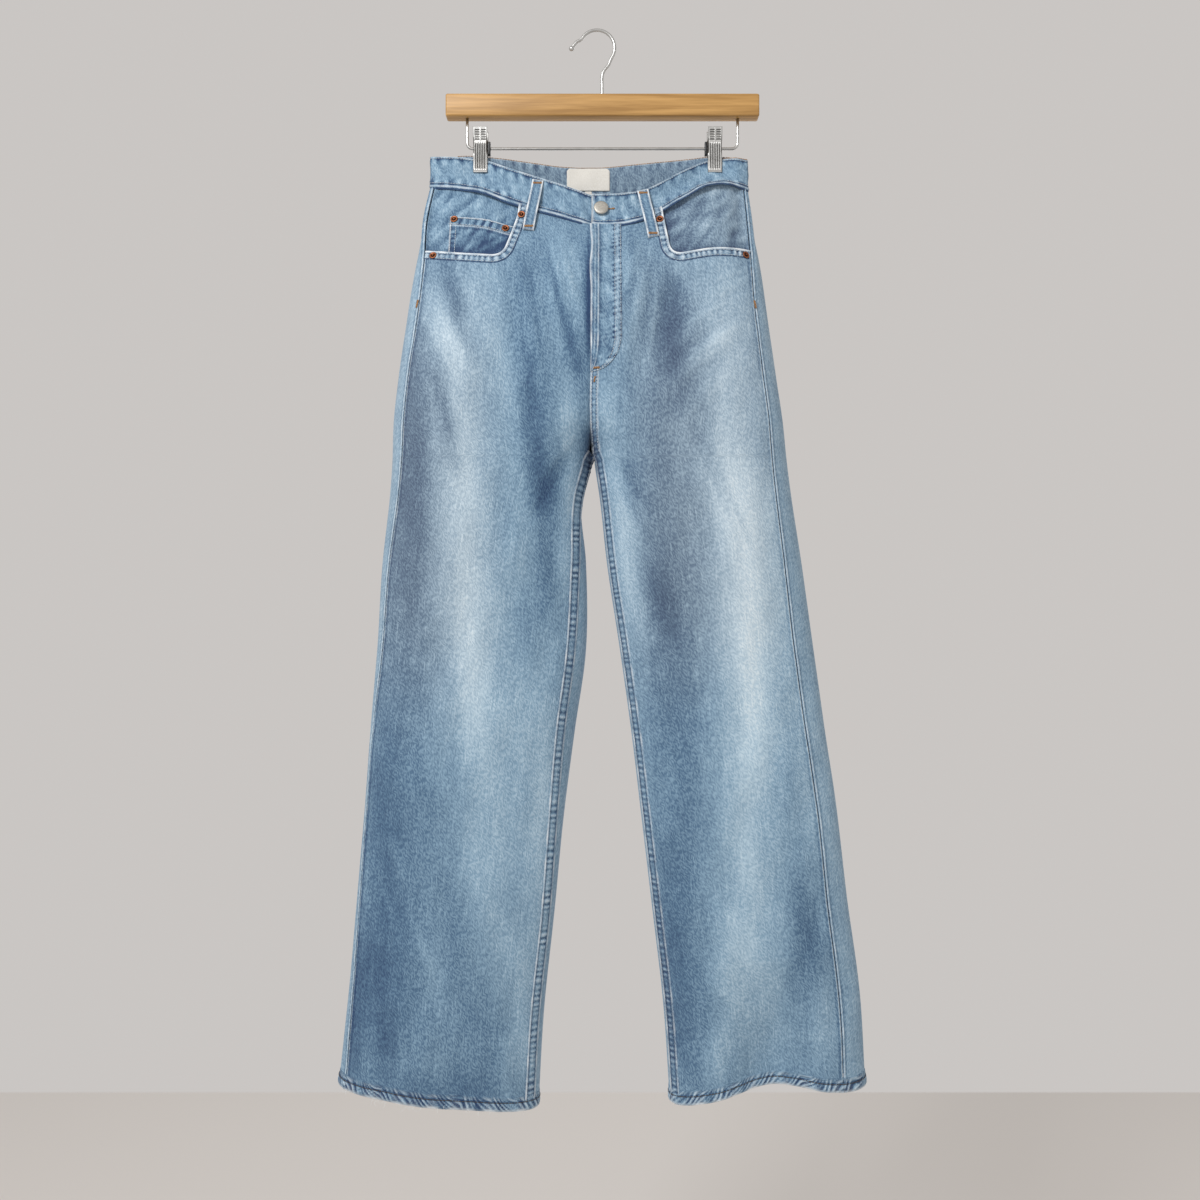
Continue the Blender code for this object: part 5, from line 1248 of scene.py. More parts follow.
def buildCoinPocket():
    # Across: from the left edge to the mouth's curve; down: from the slanting top to the foot.
    # The hem at the top is a raised band with puckers
    top = np.array(coinPocket["top"])
    mouth = mouthPaths[-1]
    s, t = np.meshgrid(np.linspace(0, 1, coinPocket["columns"]),
                       np.linspace(0, 1, coinPocket["rows"])**1.25)
    z = np.zeros_like(s)
    upright = mouth[mouth[:, 0] > -0.107][::-1]
    for _ in range(3):
        right = np.interp(z, upright[::-1, 1], upright[::-1, 0]) + 0.003
        x = coinPocket["left"] + (np.minimum(right, -0.086) - coinPocket["left"]) * s
        high = throughPoints(top[:, 0], top[:, 1], x.clip(top[0, 0], top[-1, 0]).ravel())
        high = high.reshape(x.shape)
        z = high + (coinPocket["footZ"] - high) * t
    down = z[:1] - z
    run = x - coinPocket["left"]
    band = smoothStep((coinPocket["hem"] - down) / 0.0012)
    puckers = ladder(run + 0.4 * down, coinPocket["pitch"], 71) * band
    creases = waviness(x - z, x + z, *coinPocket["creases"], tall=4.0) * (1 - band)
    edge = np.minimum(down, run)
    lift = -facingShape["depth"] + coinPocket["depth"] + 0.0004 * band + 0.0003 * puckers \
        + creases - 0.0012 * (1 - smoothStep(edge / 0.0010))
    points, _ = onCloth(frontRelief, x, z, lift)
    light, grey = washAndShadeTone(points, -1)
    rim = np.exp(-((edge - 0.0012) / 0.0009)**2)
    foot = np.exp(-((down - coinPocket["hem"]) / 0.0010)**2)
    sideBand = smoothStep((coinPocket["sideBand"] - run) / 0.0012) * (1 - band)
    rungs = ladder(down + 0.2 * run, mouthBand["pitch"], 75) * sideBand
    # Painted shade in a line just below the hem band; the creases add painted light and shade that
    # follow them
    light = light - 0.04 + 0.34 * beads(puckers) + 0.24 * beads(rungs) \
        + creases * coinPocket["creaseLight"] \
        - 0.20 * np.exp(-((down - coinPocket["hem"] - 0.0025) / 0.0016)**2)
    # Painted shade: darker near the front pocket's mouth
    corner = np.exp(-nearPath(x, z, mouth) / coinPocket["cornerReach"])
    light -= coinPocket["cornerShade"] * corner * (1 - 0.6 * band)
    white = 0.60 * rim + 0.40 * foot
    return sheetPiece("coinPocketPatch", points, -1, [washedDenim, denimWrongSide],
                      ["coin_pocket"], garment["smallWall"], (light, grey, white.clip(0, 1)))


pieces["coin"] = buildCoinPocket()

flyShape = {
    "edgeX": -0.0068, "topZ": -0.2300, "endZ": -0.4000, "curve": 0.040, "rows": 150,
    "pitch": 0.0064, "pucker": 0.00035, "stitchesAt": (0.0265, 0.0326),
    # distance from the centre front edge (mm), height (mm), lightness, whiteness, puckers
    "profile": (
        (-0.1, -0.5, -0.5, 0.0, 0), (-0.1, 1.3, -0.1, 0.4, 0), (0.6, 2.3, 0.05, 0.7, 0),
        (1.6, 2.3, 0.00, 0.35, 0), (3.0, 2.1, -0.10, 0.0, 0), (4.6, 2.2, 0.05, 0.25, 0.1),
        (6.6, 1.7, -0.14, 0.0, 0.1), (8.4, 2.1, 0.06, 0.45, 0.1), (9.8, 1.3, -0.20, 0.0, 0.2),
        (11.5, 1.0, -0.10, 0, 0.3), (14.0, 0.9, 0.02, 0.05, 0.3), (17.0, 0.9, 0.0, 0.05, 0.3),
        (20.0, 0.9, 0.0, 0.0, 0.1), (23.0, 0.9, -0.04, 0.0, 0.3), (24.6, 0.8, -0.05, 0.0, 0.9),
        (25.8, 0.55, -0.26, 0.0, 1.0), (27.0, 0.8, 0.0, 0.1, 0.7), (29.2, 0.9, 0.03, 0.2, 0.25),
        (31.2, 0.8, 0.0, 0.1, 0.7), (32.6, 0.45, -0.28, 0.0, 1.0), (33.8, 0.55, -0.08, 0.1, 0.5),
        (35.0, -0.4, -0.1, 0.0, 0),
    ),
}


def buildFly():
    # Rows go down; the far columns close on the seam as the square root of 1 - turn^2, which is
    # the J-shaped foot of the stitching
    profile = np.array(flyShape["profile"])
    z = np.linspace(flyShape["topZ"], flyShape["endZ"] + 0.0005, flyShape["rows"])[:, None]
    turn = np.clip((flyShape["endZ"] + flyShape["curve"] - z) / flyShape["curve"], 0, 1)
    share = np.sqrt(1 - turn**2)
    x = flyShape["edgeX"] + profile[:, 0] / 1000 * share
    x = x + 0.0006 * wobble(z, 81, 0.05) * (profile[:, 0] < 3)
    z = np.broadcast_to(z, x.shape)
    puckers = ladder(0.3 * x - z, flyShape["pitch"], 83) * profile[:, 4]
    creases = waviness(x + 0.5 * z, z, 85, 0.016, 0.0003, tall=2.0)
    points, _ = onCloth(frontRelief, x, z, profile[:, 1] / 1000 + flyShape["pucker"] * puckers
                        + creases)
    light, grey = washAndShadeTone(points, -1)
    # The dark first profile row is painted shadow at the fly's edge, the dark rows at the
    # stitching painted shade in their grooves; the creases add painted light and shade that follow
    # them
    light = light + profile[:, 2] * share + 0.36 * beads(puckers) + creases * 220
    white = profile[:, 3] * (0.85 + 0.3 * wobble(-z, 87, 0.03)) + 0.12 * puckers.clip(0, None)
    return sheetPiece("flyPlacket", points, -1, [washedDenim], ["fly"], 0.0,
                      (light, grey, white.clip(0, 1)))


pieces["fly"] = buildFly()

# Felled seams: a strip over the seam, raised at both folds, dark along its two rows of stitches
# and at its sunk edges, which is painted shade in the grooves
felled = (
    (-6.2, -0.5, -0.10, 0.0, 0), (-5.8, 0.1, -0.22, 0.0, 0), (-5.0, 0.5, -0.05, 0.55, 0),
    (-4.2, 0.7, 0.03, 0.60, 0.2), (-3.3, 0.4, -0.28, 0.0, 0.5), (-2.2, 0.6, -0.05, 0.05, 1.0),
    (0.0, 0.7, 0.03, 0.12, 1.0), (2.2, 0.6, -0.05, 0.05, 1.0), (3.3, 0.4, -0.28, 0.0, 0.5),
    (4.2, 0.7, 0.03, 0.50, 0.2), (5.0, 0.5, 0.00, 0.45, 0), (5.8, -0.5, -0.12, 0.0, 0),
)
oneSided = (     # the same to one side of the line, for seams that lie at a fold
    (-0.4, -0.5, -0.2, 0.0, 0), (0.3, 0.3, 0.00, 0.45, 0), (1.3, 0.6, 0.05, 0.6, 0.2),
    (2.4, 0.45, -0.26, 0.0, 0.5), (4.0, 0.7, 0.00, 0.08, 1.0), (5.8, 0.7, 0.00, 0.08, 1.0),
    (7.3, 0.4, -0.26, 0.0, 0.5), (8.4, 0.6, 0.03, 0.4, 0.2), (9.3, 0.3, 0.00, 0.25, 0),
    (10.0, -0.5, -0.1, 0.0, 0),
)
seamShape = {
    "step": 0.0013, "pitch": 0.0064, "pucker": 0.00042,
    "rowsAt": (-0.0032, 0.0032), "oneSidedRows": (0.0023, 0.0074),      # stitches
    "crotch": (-0.0052, -0.4830), "radius": 0.02, "yokeStart": 0.004, "yokeStep": 0.0014,
    "lowerFront": ((-0.0066, -0.3930), (-0.0080, -0.4300), (-0.0072, -0.4620),
                   (-0.0050, -0.4840)),
    "centreBack": ((-0.0060, -0.1860), (-0.0060, -0.3000), (-0.0060, -0.4830)),
}


def legSeam(side):
    # The inner edge of the front panel below the crotch, as a path from top to hem
    rows = levels < garment["crotchZ"] + 0.004
    line = np.vstack([seamShape["crotch"], seamPath(fronts[side][rows, -1])])
    length = runAlong(line)[-1]
    return pointsAlong(line, np.linspace(0, length, int(length / seamShape["step"])))


def seamStrip(name, relief, path, profile, seed, contrast=0.10):
    # A strip over a seam of the panels
    return stripOn(name, relief, path, 1, profile, seamShape["pitch"], seamShape["pucker"], seed,
                   contrast)


inseams = {side: legSeam(side) for side in (-1, 1)}
lowerFront, centreBack = (roundedPath(seamShape[word], seamShape["radius"], seamShape["step"])
                          for word in ("lowerFront", "centreBack"))
pieces["inseam", -1] = seamStrip("inseamRight", frontRelief, inseams[-1], felled, 91, 0.22)
pieces["inseam", 1] = seamStrip("inseamLeft", frontRelief, inseams[1], oneSided, 93, 0.22)
seamStrip("lowerFrontSeam", frontRelief, lowerFront, oneSided, 95)
seamStrip("centreBackSeam", backRelief, centreBack, felled, 97)
yokeSeams = {}
for side, word in ((-1, "Right"), (1, "Left")):
    line = backs[side][panelDetail["yokeRows"] - 1]
    line = seamPath(line[line[:, 1] > garment["wall"] - 0.012])
    length = runAlong(line)[-1]
    yokeSeams[side] = pointsAlong(line, np.linspace(seamShape["yokeStart"], length,
                                                    int(length / seamShape["yokeStep"])))
    pieces["yokeSeam", side] = seamStrip("yokeSeam" + word, backRelief, yokeSeams[side], felled,
                                         99 + side)
print("fly and seams made")

hemBand = {
    "columns": 520, "rows": 6, "pitch": 0.0062, "slant": 0.9, "rope": 0.00070,
    # height above the hem (mm), distance from the outer face (mm), lightness, whiteness, ropes
    "profile": (
        (16.5, -0.4, 0.00, 0.0, 0), (15.8, 0.15, 0.00, 0.02, 0.2), (14.0, 0.3, 0.02, 0.10, 0.6),
        (12.4, 0.4, 0.00, 0.14, 0.9), (11.2, 0.4, -0.04, 0.08, 0.9),
        # The darker rows at 10.2 and 9.2 mm, along the stitching, are painted shade in its groove
        (10.2, 0.8, -0.14, 0.0, 0.6),
        (9.2, 0.65, -0.18, 0.0, 0.6), (8.0, 0.95, 0.0, 0.1, 1), (6.4, 1.1, 0.0, 0.1, 1),
        (4.6, 1.2, 0.0, 0.1, 1), (2.8, 1.2, 0.02, 0.15, 1), (1.2, 1.1, 0.05, 0.45, 0.6),
        (0.0, 0.7, 0.05, 0.75, 0.3), (-0.7, -0.2, 0.0, 0.7, 0.1), (-0.5, -1.3, 0.0, 0.4, 0),
        (0.6, -2.1, 0.0, 0.1, 0), (5.0, -2.2, 0.0, 0.0, 0), (10.4, -2.1, 0.0, 0.1, 0),
        (11.3, -1.4, 0.0, 0.0, 0),
    ),
    "stitchAt": 9.2, "stitchLift": 1.05,
}


def hemLoops(side):
    # The outer face's closed loops of the last rows: front panel, then the back panel reversed
    loops = []
    for row in range(-1, -1 - hemBand["rows"], -1):
        line = np.vstack([fronts[side][row], backs[side][row][::-1]])
        line = np.vstack([line, line[:1]])
        length = runAlong(line)[-1]
        loops.append(pointsAlong(line, np.linspace(0, length, hemBand["columns"] + 1)[:-1]))
    return np.array(loops)


def hemPoint(loops, height, lift):
    # Between the loops by height, then along the level normal of the loop
    spacing = levels[-2] - levels[-1]
    at = np.clip(height / spacing, 0, len(loops) - 1.001)
    low = at.astype(int)
    share = (at - low)[:, None, None]
    line = loops[low] * (1 - share) + loops[low + 1] * share
    line[..., 2] += np.minimum(height, 0)[:, None]
    run = (np.roll(line, -1, axis=1) - np.roll(line, 1, axis=1))[..., :2]
    normal = np.stack([run[..., 1], -run[..., 0]], axis=-1)
    normal /= np.linalg.norm(normal, axis=-1, keepdims=True)
    middle = line[..., :2].mean(axis=1, keepdims=True)
    normal *= np.sign(((line[..., :2] - middle) * normal).sum())
    normal = np.concatenate([normal, 0 * normal[..., :1]], axis=-1)
    return line + normal * lift[..., None], normal


def buildHem(side, word):
    # Profile round the loops; the ropes are ladder puckers on a slant
    loops = hemLoops(side)
    profile = np.array(hemBand["profile"])
    height = profile[:, 0] / 1000
    run = runAlong(loops[0])[None]
    whole = run[0, -1] / round(run[0, -1] / hemBand["pitch"])
    lean = hemBand["slant"] * (1 + 0.6 * wobble(run, 115, 0.05))
    ropes = ladder(run + lean * height[:, None], whole, 111 + side) * profile[:, 4:5]
    lift = profile[:, 1:2] / 1000 + hemBand["rope"] * ropes
    points, _ = hemPoint(loops, height, lift)
    light, grey = washAndShadeTone(points, -1)
    light = light + profile[:, 2:3] + 0.36 * beads(ropes) - 0.02 \
        + 0.10 * wobble(run, 117, 0.016) * profile[:, 4:5]
    white = profile[:, 3:4] * (0.8 + 0.4 * wobble(run, 113, 0.03)) + 0.25 * ropes.clip(0, None)
    rows, columns = points.shape[:2]
    faces = gridFaces(rows, columns, closeRows=True, closeColumns=True)
    mesh = makeMesh("hem" + word, points, faces, clothUv(points),
                    (light, np.zeros_like(grey), white.clip(0, 1)))
    faceOutwards(mesh)
    return addPiece("hem" + word, mesh, [washedDenim]), loops


hemStitches = {}
for side, word in ((-1, "Right"), (1, "Left")):
    pieces["hem", side], loops = buildHem(side, word)
    line, normal = hemPoint(loops, np.array([hemBand["stitchAt"] / 1000]),
                            np.array([[hemBand["stitchLift"] / 1000]]))
    hemStitches[side] = (np.vstack([line[0], line[0, :1]]), np.vstack([normal[0], normal[0, :1]]))
print("hems made")

beltLoops = {
    "width": 0.0125, "rows": 46, "bow": 0.0013, "clear": 0.0022, "ending": 0.0016,
    "rowsAt": 0.0043,
    "tackHalf": 0.0050, "tackAt": (3, -4), "seed": 121,
    "places": {
        "belt_loop_front_right": (-0.0656, -0.1755, -0.0757, -0.2365, -1),
        "belt_loop_front_left": (0.0508, -0.1880, 0.0622, -0.2465, -1),
        "belt_loop_side_right": (-0.1660, -0.1440, -0.1720, -0.2050, 1),
        "belt_loop_side_left": (0.1520, -0.1450, 0.1570, -0.2070, 1),
        "belt_loop_back": (-0.0060, -0.1520, -0.0060, -0.2120, 1),
    },
    # share of the half width, height (mm), lightness, whiteness
    # The darker rows at the folded edges and at 0.50 to 0.68, beside the stitching, are painted
    # shade
    "profile": ((-1.00, -1.2, -0.1, 0.3), (-1.00, -0.3, 0.0, 0.6), (-0.93, 0.1, 0.02, 0.9),
                (-0.80, 0.15, 0.02, 0.7), (-0.68, 0.0, -0.10, 0.1), (-0.50, -0.1, -0.06, 0.0),
                (-0.20, -0.1, 0.0, 0.0), (0.00, -0.05, 0.02, 0.0), (0.20, -0.1, 0.0, 0.0),
                (0.50, -0.1, -0.06, 0.0), (0.68, 0.0, -0.10, 0.1), (0.80, 0.15, 0.02, 0.7),
                (0.93, 0.1, 0.02, 0.9), (1.00, -0.3, 0.0, 0.6), (1.00, -1.2, -0.1, 0.3)),
}
loopLines = {}


def buildLoop(node, values):
    # A strip from end to end: its height is the highest cloth across it, smoothed along it, plus
    # a clearance and a bow; both ends are folded under
    x0, z0, x1, z1, facing = values
    relief = frontRelief if facing < 0 else backRelief
    t = np.linspace(0, 1, beltLoops["rows"])
    path = np.column_stack([x0 + (x1 - x0) * t, z0 + (z1 - z0) * t])
    profile = np.array(beltLoops["profile"])
    places = besidePath(path, profile[:, 0] * beltLoops["width"] / 2)
    ground = reliefHeight(relief, places[..., 0], places[..., 1])
    highest = ground.max(axis=1)
    padded = np.pad(highest, 4, mode="edge")
    highest = np.max([padded[i:i + len(t)] for i in range(9)], axis=0)
    padded = np.pad(highest, 5, mode="edge")
    level = np.mean([padded[i:i + len(t)] for i in range(11)], axis=0)
    level = level + beltLoops["clear"] + beltLoops["bow"] * np.sin(math.pi * t)
    ending = np.minimum(t, 1 - t) * math.hypot(x1 - x0, z1 - z0)
    level = level - beltLoops["ending"] * (1 - smoothStep(ending / 0.0012))
    run = runAlong(path)[:, None]
    height = level[:, None] + profile[:, 1] / 1000 \
        + 0.00012 * ladder(run, 0.005, beltLoops["seed"]) * (np.abs(profile[:, 0]) < 0.7)
    points = np.stack([places[..., 0], facing * height, places[..., 1]], axis=-1)
    light, grey = washAndShadeTone(points, facing)
    light = light + profile[:, 2] - 0.04
    worn = np.exp(-(ending / 0.0013)**2)[:, None]
    white = np.maximum(profile[:, 3] * (0.85 + 0.3 * wobble(run, 123, 0.02)), 0.8 * worn)
    loopLines[node] = (path, level, facing)
    return sheetPiece("cloth_" + node, points, facing, [washedDenim, denimWrongSide], [node],
                      garment["loopWall"], (light, grey * 0.3, white.clip(0, 1)))


for node, values in beltLoops["places"].items():
    pieces[node] = buildLoop(node, values)

backPocket = {
    "rows": 66, "columns": 62, "lift": 0.0017, "hem": 0.022,
    # corners in the back view: top outer, top inner, foot outer, foot inner, point
    -1: ((-0.1500, -0.2480), (-0.0480, -0.2660), (-0.1640, -0.3870), (-0.0530, -0.3930),
         (-0.1120, -0.4080)),
    1: ((0.1350, -0.2480), (0.0350, -0.2660), (0.1480, -0.3870), (0.0420, -0.3930),
        (0.1000, -0.4080)),
}
pocketPaths = {}


def buildBackPocket(side, word):
    # Bilinear between the four corners, its foot drawn down to a point; the edges are raised and
    # worn, the hem across the top is a thicker band
    outerTop, innerTop, outerFoot, innerFoot, point = (np.array(p) for p in backPocket[side])
    s, t = np.meshgrid(np.linspace(0, 1, backPocket["columns"]),
                       np.linspace(0, 1, backPocket["rows"]))
    s, t = s[..., None], t[..., None]
    top, foot = outerTop * (1 - s) + innerTop * s, outerFoot * (1 - s) + innerFoot * s
    middle = outerFoot + (innerFoot - outerFoot) * 0.5
    place = top * (1 - t) + foot * t + (point - middle) * (1 - np.abs(2 * s - 1)) * t
    width, height = np.linalg.norm(innerTop - outerTop), np.linalg.norm(outerFoot - outerTop)
    s, t = s[..., 0], t[..., 0]
    border = np.minimum(np.minimum(s, 1 - s) * width, (1 - t) * height)
    whole = np.minimum(border, t * height)
    hem = smoothStep((backPocket["hem"] - t * height) / 0.0015)
    puckers = ladder(s * width + t * height, 0.0072, 131 + side) \
        * np.exp(-((border - 0.005) / 0.003)**2)
    lift = backPocket["lift"] - 0.0019 * (1 - smoothStep(whole / 0.0012)) + 0.0005 * hem \
        + 0.0002 * puckers + waviness(place[..., 0], place[..., 1], 133, 0.03, 0.0004)
    points, _ = onCloth(backRelief, place[..., 0], place[..., 1], lift)
    light, grey = washAndShadeTone(points, 1)
    light = light + 0.06 * puckers - 0.10 * np.exp(-((border - 0.0075) / 0.0012)**2)
    white = 0.85 * np.exp(-((whole - 0.0014) / 0.0010)**2)
    pocketPaths[side] = np.vstack([place[:, 0], place[-1, 1:-1], place[::-1, -1]])
    return sheetPiece("backPocketPatch" + word, points, 1, [washedDenim, denimWrongSide],
                      ["back_pocket_" + word.lower()], garment["wall"],
                      (light, grey, white.clip(0, 1)))


for side, word in ((-1, "Right"), (1, "Left")):
    pieces["backPocket", side] = buildBackPocket(side, word)

waistLabel = {
    "label": ((-0.0100, -0.1634), (0.0490, 0.0252), 0.0009, "waist_label"),
    "tab": ((-0.0100, -0.1802), (0.0080, 0.0070), 0.0010, "size_tab"),
}


def buildLabel(key):
    # A bare rectangle on the inside of the back waistband, its corners rounded by drawing the
    # outer columns in, its side margins a little raised
    (cx, cz), (width, height), lift, node = waistLabel[key]
    s, t = np.meshgrid(np.linspace(-1, 1, 41), np.linspace(-1, 1, 25))
    corner = 0.22 * (np.clip(np.abs(s) - 0.84, 0, 1) / 0.16)**2
    x = cx + s * width / 2
    z = cz + t * height / 2 * (1 - corner * t.clip(0, 1)**2)
    margin = np.exp(-((np.abs(s) - 0.88) / 0.03)**2)
    points, _ = onCloth(insideRelief, x, z, lift + 0.0003 * margin
                        + waviness(x, z, 141, 0.02, 0.00025))
    light = np.full_like(x, 0.5)
    return sheetPiece(node + "Cloth", points, -1, [creamTwillTape], [node],
                      garment["smallWall"], (light, light, light))


for key in waistLabel:
    pieces[key] = buildLabel(key)
print("loops, pockets and label made")

# Threads. Each stitch is a short rounded bar that dips into the cloth at both ends.
threads = {
    "sides": 5,
    # pitch, length and radius of the stitches
    "plain": (0.0032, 0.0026, 0.00036), "hem": (0.0034, 0.0029, 0.00040),
    "loop": (0.0030, 0.0024, 0.00030), "edge": (0.0030, 0.0029, 0.00042),
    "loopTack": (0.0006, 0.0026, 0.00034), "tackPitch": 0.0006, "tackRadius": 0.00033,
}
bartacks = (    # centre, turn from +X (degrees), length, width, height above the cloth, seed
    ((-0.1950, -0.3220), 80, 0.0090, 0.0030, 0.0010, 241),
    ((0.1715, -0.3230), 100, 0.0090, 0.0030, 0.0010, 241),
    ((-0.0010, -0.3960), 0, 0.0085, 0.0024, 0.0014, 241),
    ((-0.0020, -0.4080), 80, 0.0060, 0.0020, 0.0012, 241),
    ((0.0185, -0.2100), 0, 0.0030, 0.0026, 0.0008, 243),        # the buttonhole
    ((0.0145, -0.2103), 0, 0.0050, 0.0014, 0.0008, 245),
)


def stitchesOn(points, normals, style, seed, turned=False):
    # Bars at even steps along a line of points: four rings each, the middle two full and raised.
    # turned lays them across the line, as in a bartack
    pitch, length, radius = style
    dice = np.random.default_rng(seed)
    run = runAlong(points)
    count = max(int(run[-1] / pitch), 1)
    centre = (np.arange(count) + 0.5) * run[-1] / count + dice.normal(0, pitch * 0.03, count)
    place, normal = pointsAlong(points, centre), np.column_stack(
        [np.interp(centre, run, normals[:, i]) for i in range(3)])
    way = pointsAlong(points, centre + pitch * 0.4) - pointsAlong(points, centre - pitch * 0.4)
    way /= np.maximum(np.linalg.norm(way, axis=1, keepdims=True), 1e-9)
    across = np.cross(way, normal)
    if turned:
        way, across = across, -way
    size = length * (1 + dice.normal(0, 0.05, count))
    along = np.array([-0.5, -0.32, 0.32, 0.5])[None] * size[:, None]
    thick = radius * np.array([0.4, 1, 1, 0.4])
    sink = radius * np.array([-0.9, 0.15, 0.15, -0.9])
    angle = np.arange(threads["sides"]) * 2 * math.pi / threads["sides"]
    ring = (np.cos(angle)[:, None, None] * across + np.sin(angle)[:, None, None] * normal)
    ring = ring.transpose(1, 0, 2)[:, None]
    core = place[:, None] + way[:, None] * along[..., None] + normal[:, None] * sink[:, None]
    return core[:, :, None] + ring * thick[None, :, None, None]


def stitchLine(relief, path, offset, lift, seed):
    # Stitches along a path in the front or back view, moved sideways by offset
    line = besidePath(path, offset)[:, 0]
    points, normals = onCloth(relief, line[:, 0], line[:, 1], np.full(len(line), lift))
    return stitchesOn(points, normals, threads["plain"], seed)


def bartack(centre, angle, length, width, lift, seed):
    # Close bars across a short line on the front, which is turned by the angle from +X
    way = np.array([math.cos(math.radians(angle)), math.sin(math.radians(angle))])
    path = np.array(centre) + np.linspace(-0.5, 0.5, 12)[:, None] * length * way
    points, normals = onCloth(frontRelief, path[:, 0], path[:, 1], np.full(12, lift))
    return stitchesOn(points, normals, (threads["tackPitch"], width, threads["tackRadius"]), seed,
                      turned=True)


# Rows beside paths: view, path, distances to the side, height above the cloth, seed
coinEdge = roundedPath(((-0.1645, -0.2150), (-0.1645, -0.2630)), 0.01, 0.002)
coinTop = roundedPath(coinPocket["top"], 0.02, 0.002)
flyZ = np.linspace(flyShape["topZ"] + 0.002, flyShape["endZ"], 120)
flyTurn = np.clip((flyShape["endZ"] + flyShape["curve"] - flyZ) / flyShape["curve"], 0, 1)
flyLines = [np.column_stack([flyShape["edgeX"] + distance * np.sqrt(1 - flyTurn**2), flyZ])
            for distance in flyShape["stitchesAt"]]
paleRows = []
for side in (-1, 1):
    paleRows += [(frontRelief, mouthPaths[side], (side * 0.0028,), 0.00075, 201 + side),
                 (frontRelief, mouthPaths[side], (side * 0.0088,), 0.00065, 203 + side),
                 (backRelief, pocketPaths[side], (side * 0.0030, side * 0.0090), 0.0026,
                  207 + side),
                 (backRelief, yokeSeams[side], (-0.0032, 0.0032), 0.0007, 209 + side)]
paleRows += [(backRelief, centreBack, seamShape["rowsAt"], 0.0007, 213),
             (frontRelief, lowerFront, seamShape["oneSidedRows"], 0.0007, 217),
             (frontRelief, coinEdge, (0.0022, 0.0078), -0.0005, 219),
             (frontRelief, coinTop, (-0.0022, -0.0100), -0.0001, 221)]
paleRows += [(frontRelief, line, (0.0,), 0.0011, 223) for line in flyLines]
blueRows = [(frontRelief, inseams[-1], seamShape["rowsAt"], 0.0007, 211),
            (frontRelief, inseams[1], seamShape["oneSidedRows"], 0.0007, 215)]
pale, blue = ([stitchLine(relief, path, offset, lift, seed)
               for relief, path, offsets, lift, seed in rows for offset in offsets]
              for rows in (paleRows, blueRows))
brown = [stitchesOn(*hemStitches[side], threads["hem"], 205 + side) for side in (-1, 1)]
for row, lift in ((3, 0.00065), (13, 0.00080)):     # rows of the waistband's profile
    line = bandGrid[row]
    normals = gridNormals(bandGrid[:bandShape["outerRows"]])[row]
    normals = normals * np.sign(((line - line.mean(axis=0)) * normals)[:, :2].sum())
    pale.append(stitchesOn(line + normals * (lift - 0.0005), normals, threads["plain"], 225 + row))
tan = []
for path, level, facing in loopLines.values():
    normals = np.tile([0.0, facing, 0.0], (len(path), 1))
    for offset in (-beltLoops["rowsAt"], beltLoops["rowsAt"]):
        line = besidePath(path, offset)[:, 0]
        points = np.column_stack([line[:, 0], facing * (level + 0.0001), line[:, 1]])
        pale.append(stitchesOn(points, normals, threads["loop"], 231))
    for at in beltLoops["tackAt"]:
        x = path[at, 0] + np.linspace(-beltLoops["tackHalf"], beltLoops["tackHalf"], 12)
        points = np.column_stack([x, np.full(12, facing * (level[at] + 0.0002)),
                                  np.full(12, path[at, 1])])
        tan.append(stitchesOn(points, normals[:12], threads["loopTack"], 233, turned=True))
tan += [bartack(*row) for row in bartacks]
edgeRun = bandGrid[0, backHalf]                 # the waistband's top edge behind
edgeUp = np.tile((0.0, -0.5, 0.87), (len(edgeRun), 1))
tan.append(stitchesOn(edgeRun + edgeUp * 0.0004, edgeUp, threads["edge"], 225))
for name, blocks, finish in (("topstitchingPale", pale, paleThread),
                             ("bartacksTan", tan, tanThread),
                             ("hemChainStitch", brown, brownThread),
                             ("inseamStitching", blue, blueThread)):
    strandsPiece(name, np.concatenate(blocks), finish)
print("stitches made")


def tubePiece(name, points, radius, across, finish, nodes, sides):
    # Rings of the radius round a line of points, between the line's run crossed with the given
    # direction and that direction
    points = np.asarray(points, float)
    way = np.gradient(points, axis=0)
    way /= np.linalg.norm(way, axis=1, keepdims=True)
    first = np.cross(way, np.broadcast_to(across, points.shape))
    first /= np.linalg.norm(first, axis=1, keepdims=True)
    second = np.cross(first, way)
    angle = np.arange(sides) * 2 * math.pi / sides
    rings = points[:, None] + radius * (np.cos(angle)[:, None] * first[:, None]
                                        + np.sin(angle)[:, None] * second[:, None])
    return ringPiece(name, rings, finish, nodes)


def turnedPiece(name, profile, place, axis, finish, nodes, sides, shine=None):
    # A profile of (radius, height) turned about the axis at the place; shine is painted on it
    axis = np.array(axis, float) / np.linalg.norm(axis)
    first = np.cross(axis, (0.0, 0.0, 1.0) if abs(axis[2]) < 0.9 else (1.0, 0.0, 0.0))
    first /= np.linalg.norm(first)
    second = np.cross(axis, first)
    radius, height = np.array(profile).T
    angle = np.arange(sides) * 2 * math.pi / sides
    ring = np.cos(angle)[:, None] * first + np.sin(angle)[:, None] * second
    rings = np.array(place) + radius[:, None, None] * ring + height[:, None, None] * axis
    tone = None if shine is None else (np.repeat(shine, sides),) * 3
    return ringPiece(name, rings, finish, nodes, tone)


